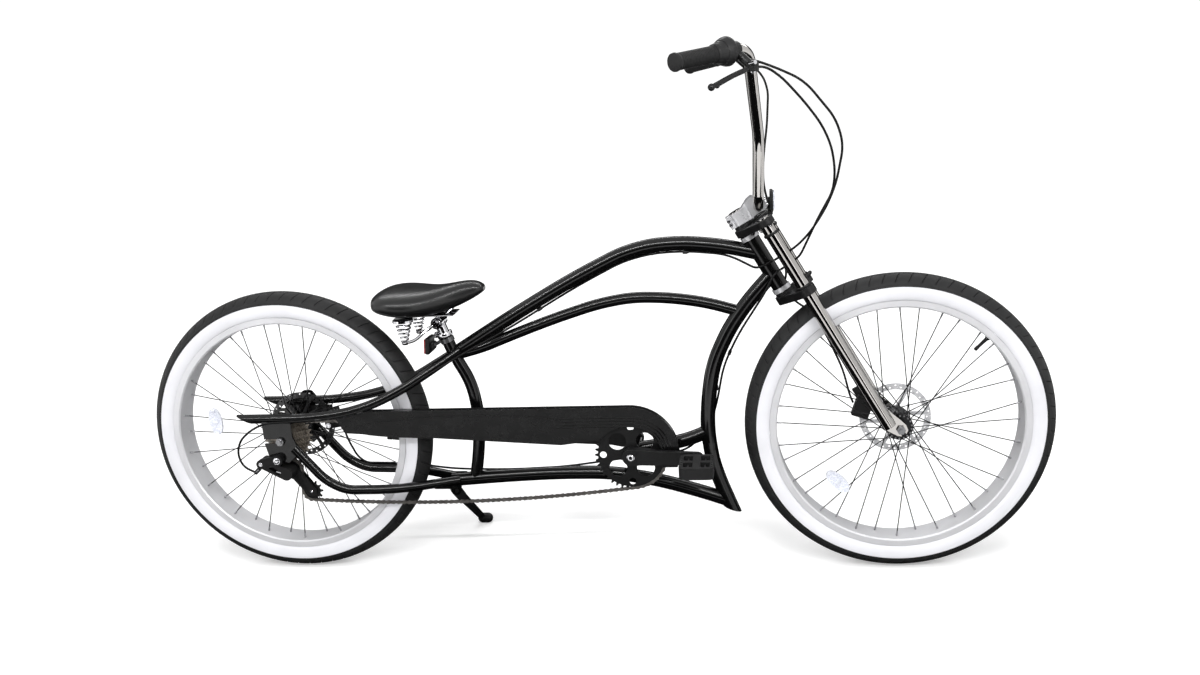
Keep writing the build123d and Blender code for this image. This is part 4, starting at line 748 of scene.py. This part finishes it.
def guard_trim():
    """Raised beads that follow the guard's top and front, and the smooth panel between them."""
    drawing = bmesh.new()
    for radius in (92, 84.5, 77, 70.5):
        points = [(660 - (92 - radius) * 1.5, BEAD_Y, BRACKET.z + radius)]
        points += [(720, BEAD_Y, BRACKET.z + radius), (790, BEAD_Y, BRACKET.z + radius)]
        for angle in (84, 66, 48, 30, 14):
            turn = radians(angle)
            reach = radius + 3 * cos(turn)
            points.append((BRACKET.x + reach * cos(turn), BEAD_Y, BRACKET.z + reach * sin(turn)))
        wire(drawing, points, 1.5, sides=2)
    panel = bmesh.new()
    bmesh.ops.create_circle(panel, cap_ends=True, segments=56, radius=1)
    for vert in panel.verts:
        along, up = vert.co.x, vert.co.y
        vert.co = (422 + 250 * along, 0, 366 + 26 * up + 4 * along)
    made = bmesh.ops.extrude_face_region(panel, geom=panel.faces[:])
    lifted = [item for item in made["geom"] if isinstance(item, bmesh.types.BMVert)]
    bmesh.ops.translate(panel, verts=lifted, vec=(0, -1.4, 0))
    add_part(drawing, panel, [Matrix.Translation((0, -62.2, 0))], look=1)
    finished("guard_beads", drawing, "frame", "guard_paint", [GLOSS_BLACK, SATIN_PANEL])
    screws = bmesh.new()
    bolt(screws, (115, -66, 375), (0, -1, 0), 4.5, 3)
    finished("guard_screw", screws, "frame", "bright_chrome", [BRIGHT_CHROME])


def seat_clamp():
    """Silver collar with two bolts round the top of the seat tube, and the reflector behind it."""
    drawing = bmesh.new()
    way = Vector((-sin(radians(20)), 0, cos(radians(20))))
    top = Vector((393, 0, 574))
    tilt = Matrix.Translation(top) @ way.to_track_quat("Z", "Y").to_matrix().to_4x4()
    turned(drawing, [(13, -9), (17.6, -9), (18.4, -7.5), (18.4, 1), (17.6, 2.2), (13, 2.2)], tilt)
    for height in (-6.5, -0.5):
        spot = top + way * height + Vector((-19, 0, 0))
        rod(drawing, spot - Vector((0, 12, 0)), spot + Vector((0, 12, 0)), 2.6, sides=10)
    block(drawing, top + way * -3.5 + Vector((-19.5, 0, 0)), (9, 15, 12), 1)
    finished("seat_clamp", drawing, "frame", "bright_chrome", [BRIGHT_CHROME])
    shell = bmesh.new()
    lean = Matrix.Rotation(radians(4), 4, "Y")
    block(shell, (356, 0, 548), (10, 52, 38), 3, turn=lean)
    block(shell, (350, 0, 548), (4, 48, 34), 1.5, look=1, turn=lean)
    block(shell, (364, 0, 546), (10, 26, 18), 2.5, turn=lean)
    rod(shell, (366, 0, 546), (384, 0, 556), 4, look=2)
    rod(shell, (371, -9, 549), (371, 9, 549), 3.4, look=2, sides=8)
    rod(shell, (384, -12, 556), (384, 12, 556), 3.2, look=2, sides=8)
    turned(shell, [(14.4, -22), (16.8, -22), (16.8, -12), (14.4, -12)], tilt, look=2)
    finished("tail_reflector", shell, "frame", "red_reflector", [BLACK_PLASTIC, RED_PLASTIC, DARK_STEEL],
             over=["rear_reflector"])


def cable_clips():
    """Small black clips and ferrules that hold the fixed cables."""
    drawing = bmesh.new()
    for spot, way, reach in (((955, 0, 743.5), (1, 0, 0.02), 4), ((880, 0, 743), (1, 0, 0), 4),
                             ((760, 0, 705), (0.9, 0, 0.42), 4), ((620, 0, 624), (0.87, 0, 0.48), 4),
                             ((1017, 0, 430), (0, 0, 1), 4), ((1048, 0, 512), (0.4, 0, 1), 4),
                             ((700, -4, 238), (1, 0, 0), 4.5), ((-30, -90.5, 390), (1, 0, 0.02), 3.6),
                             ((100, -90.5, 396), (1, 0, 0.05), 3.6), ((200, -86, 410), (1, 0, 0.2), 3.6)):
        along = Vector(way).normalized()
        middle = Vector(spot)
        rod(drawing, middle - along * 5, middle + along * 5, reach, sides=14)
        rod(drawing, middle + along * 5, middle + along * 9, reach * 0.8, 2.8, sides=14)
    finished("cable_clips", drawing, "frame", "black_plastic", [BLACK_PLASTIC])


def drive_trim():
    """Crank bolts, pulley bolts, the derailleur's fittings and the nuts of the rear axle."""
    drawing = bmesh.new()
    for side in (-1, 1):
        bolt(drawing, (BRACKET.x, side * 73, BRACKET.z), (0, side, 0), 7.6, 4)
    finished("crank_bolts", drawing, "cranks", "bright_chrome", [BRIGHT_CHROME])
    drawing = bmesh.new()
    bolt(drawing, (-10, -94.2, 298), (0, -1, 0), 6.4, 3)
    bolt(drawing, (8, -56, 264), (0, -1, 0), 3.6, 2.5)
    bolt(drawing, (50, -56, 208), (0, -1, 0), 3.6, 2.5)
    bolt(drawing, (-50, -94, 290), (0, -1, 0), 3.8, 2.5)
    rod(drawing, (-58, -86, 276), (-67, -85, 268), 4.4, sides=12)
    rod(drawing, (-14, -93, 272), (-4, -92, 268), 2, sides=8)
    finished("derailleur_bolts", drawing, "frame", "bright_chrome", [BRIGHT_CHROME])


def pedal_trim():
    """Studs and cross ribs on both platforms."""
    for side, name, middle_x in ((-1, "right", BRACKET.x + 152), (1, "left", BRACKET.x - 152)):
        drawing = bmesh.new()
        outline_y = side * (92 + 95 / 2)
        for face in (-1, 1):
            for row in (-1, 1):
                for index in range(6):
                    y = outline_y - 36 + index * 14.4
                    rod(drawing, (row * 33.5, y, face * 12.5), (row * 33.5, y, face * 15.4), 2.1, 1.4,
                        sides=8)
        for x in (-19, 19):
            block(drawing, (x, outline_y, 0), (3, 70, 16), 0.8)
        rod(drawing, (0, outline_y - 44, 0), (0, outline_y + 44, 0), 9.6, sides=20)
        for end in (-1, 1):
            turned(drawing, [(7, -1), (12.5, -1), (13.4, 0), (12.5, 3), (7, 3)],
                   Matrix.Translation((0, outline_y + end * 43, 0)) @ Matrix.Rotation(radians(90), 4, "X"),
                   steps=24)
        finished(f"pedal_{name}_studs", drawing, f"pedal_{name}", "black_plastic", [BLACK_PLASTIC],
                 place=UPRIGHT @ Matrix.Translation((middle_x, 0, BRACKET.z)))


# ---------------------------------------------------------------- stage


def area_light(name, place, target, width, depth, power):
    data = bpy.data.lights.new(name, "AREA")
    data.shape = "RECTANGLE"
    data.size = width
    data.size_y = depth
    data.energy = power
    lamp = bpy.data.objects.new(name, data)
    lamp.location = place
    lamp.rotation_euler = (Vector(target) - Vector(place)).to_track_quat("-Z", "Y").to_euler()
    bpy.context.scene.collection.objects.link(lamp)


def seen_directly(nodes, links):
    """1 for camera, glossy and transmission rays, 0 for the light that falls on things."""
    path = nodes.new("ShaderNodeLightPath")
    first = nodes.new("ShaderNodeMath")
    first.operation = "MAXIMUM"
    links.new(path.outputs["Is Camera Ray"], first.inputs[0])
    links.new(path.outputs["Is Glossy Ray"], first.inputs[1])
    both = nodes.new("ShaderNodeMath")
    both.operation = "MAXIMUM"
    links.new(first.outputs[0], both.inputs[0])
    links.new(path.outputs["Is Transmission Ray"], both.inputs[1])
    return both.outputs[0]


def flag(name, place, turn, width, height):
    """Dark card beside the set that only glossy surfaces see."""
    card = bmesh.new()
    bmesh.ops.create_grid(card, x_segments=1, y_segments=1, size=0.5)
    lie = Matrix.Translation(place) @ turn @ Matrix.Diagonal((width, height, 1, 1))
    bmesh.ops.transform(card, matrix=lie, verts=card.verts)
    mesh = bpy.data.meshes.new(name)
    card.to_mesh(mesh)
    card.free()
    mesh.materials.append(CARD_BLACK)
    made = bpy.data.objects.new(name, mesh)
    bpy.context.scene.collection.objects.link(made)
    made.visible_camera = False
    made.visible_diffuse = False
    made.visible_transmission = False
    made.visible_shadow = False


def build_stage():
    """White studio: a pale floor that keeps the shadow, a white world, soft lamps and dark flags."""
    world = bpy.data.worlds.new("studio")
    bpy.context.scene.world = world
    world.use_nodes = True
    nodes, links = world.node_tree.nodes, world.node_tree.links
    back = nodes["Background"]
    back.inputs["Color"].default_value = (1, 1, 1, 1)
    level = nodes.new("ShaderNodeMapRange")
    level.inputs["To Min"].default_value = 0.32
    level.inputs["To Max"].default_value = 1.0
    links.new(seen_directly(nodes, links), level.inputs["Value"])
    links.new(level.outputs["Result"], back.inputs["Strength"])

    ground = bmesh.new()
    bmesh.ops.create_grid(ground, x_segments=1, y_segments=1, size=60)
    mesh = bpy.data.meshes.new("studio_floor")
    ground.to_mesh(mesh)
    ground.free()
    floor = bpy.data.objects.new("studio_floor", mesh)
    bpy.context.scene.collection.objects.link(floor)
    paper, nodes, links, surface = shader("studio_paper")
    surface.inputs["Base Color"].default_value = (0.8, 0.8, 0.8, 1)
    surface.inputs["Roughness"].default_value = 1.0
    surface.inputs["Specular IOR Level"].default_value = 0.0
    surface.inputs["Emission Color"].default_value = (1, 1, 1, 1)
    glow = nodes.new("ShaderNodeMath")
    glow.operation = "MULTIPLY"
    glow.inputs[1].default_value = 0.36
    links.new(seen_directly(nodes, links), glow.inputs[0])
    links.new(glow.outputs[0], surface.inputs["Emission Strength"])
    mesh.materials.append(paper)

    data = bpy.data.lights.new("sky_panel", "SUN")
    data.energy = 1.75
    data.angle = radians(32)
    lamp = bpy.data.objects.new("sky_panel", data)
    lamp.rotation_euler = (radians(12), 0, 0)
    lamp.visible_glossy = False
    bpy.context.scene.collection.objects.link(lamp)
    area_light("strip_above", (0.2, -1.9, 2.3), (0.1, 0, 0.45), 4.4, 0.09, 60)
    area_light("strip_behind", (0.2, 1.9, 2.3), (0.1, 0, 0.45), 4.4, 0.10, 24)
    area_light("soft_left", (-2.9, -2.7, 1.2), (0, 0, 0.5), 0.8, 2.3, 13)
    area_light("soft_right", (2.6, -3.1, 1.3), (0.6, 0, 0.6), 0.45, 2.3, 9)
    standing = Matrix.Rotation(radians(90), 4, "X")
    flag("flag_behind", (0, 2.9, 1.0), standing, 9, 2.6)
    flag("flag_before", (0, -4.6, 1.0), standing, 9, 2.6)
    flag("flag_ground", (0, 0, 0.002), Matrix(), 4, 3)


def build_camera():
    """The view that the bicycle is shown in, from its right side and a little ahead of its middle."""
    place = Vector((1.0773, -2.4024, 1.1079))
    yaw, pitch, roll = 0.12398, -0.24852, -0.05225
    ahead = Vector((-sin(yaw) * cos(pitch), cos(yaw) * cos(pitch), sin(pitch)))
    level = Vector((cos(yaw), sin(yaw), 0))
    top = level.cross(ahead)
    right = cos(roll) * level + sin(roll) * top
    up = -sin(roll) * level + cos(roll) * top
    turn = Matrix((right, up, -ahead)).transposed().to_4x4()
    data = bpy.data.cameras.new("studio_camera")
    data.sensor_width = 36
    data.lens = 32.714
    data.shift_x = -0.00937
    data.shift_y = 0.02139
    camera = bpy.data.objects.new("studio_camera", data)
    camera.matrix_world = LEANED @ Matrix.Translation(place) @ turn
    bpy.context.scene.collection.objects.link(camera)
    bpy.context.scene.camera = camera


dress_frame()
build_wheels()
saddle_cover()
saddle_springs()
chain_links()
build_castings()
head_bolts()
leg_trim()
grips()
shifter()
lever_fittings()
front_lamp_reflector()
guard_trim()
seat_clamp()
cable_clips()
drive_trim()
pedal_trim()
build_stage()
build_camera()
bpy.context.scene.view_settings.view_transform = "Standard"
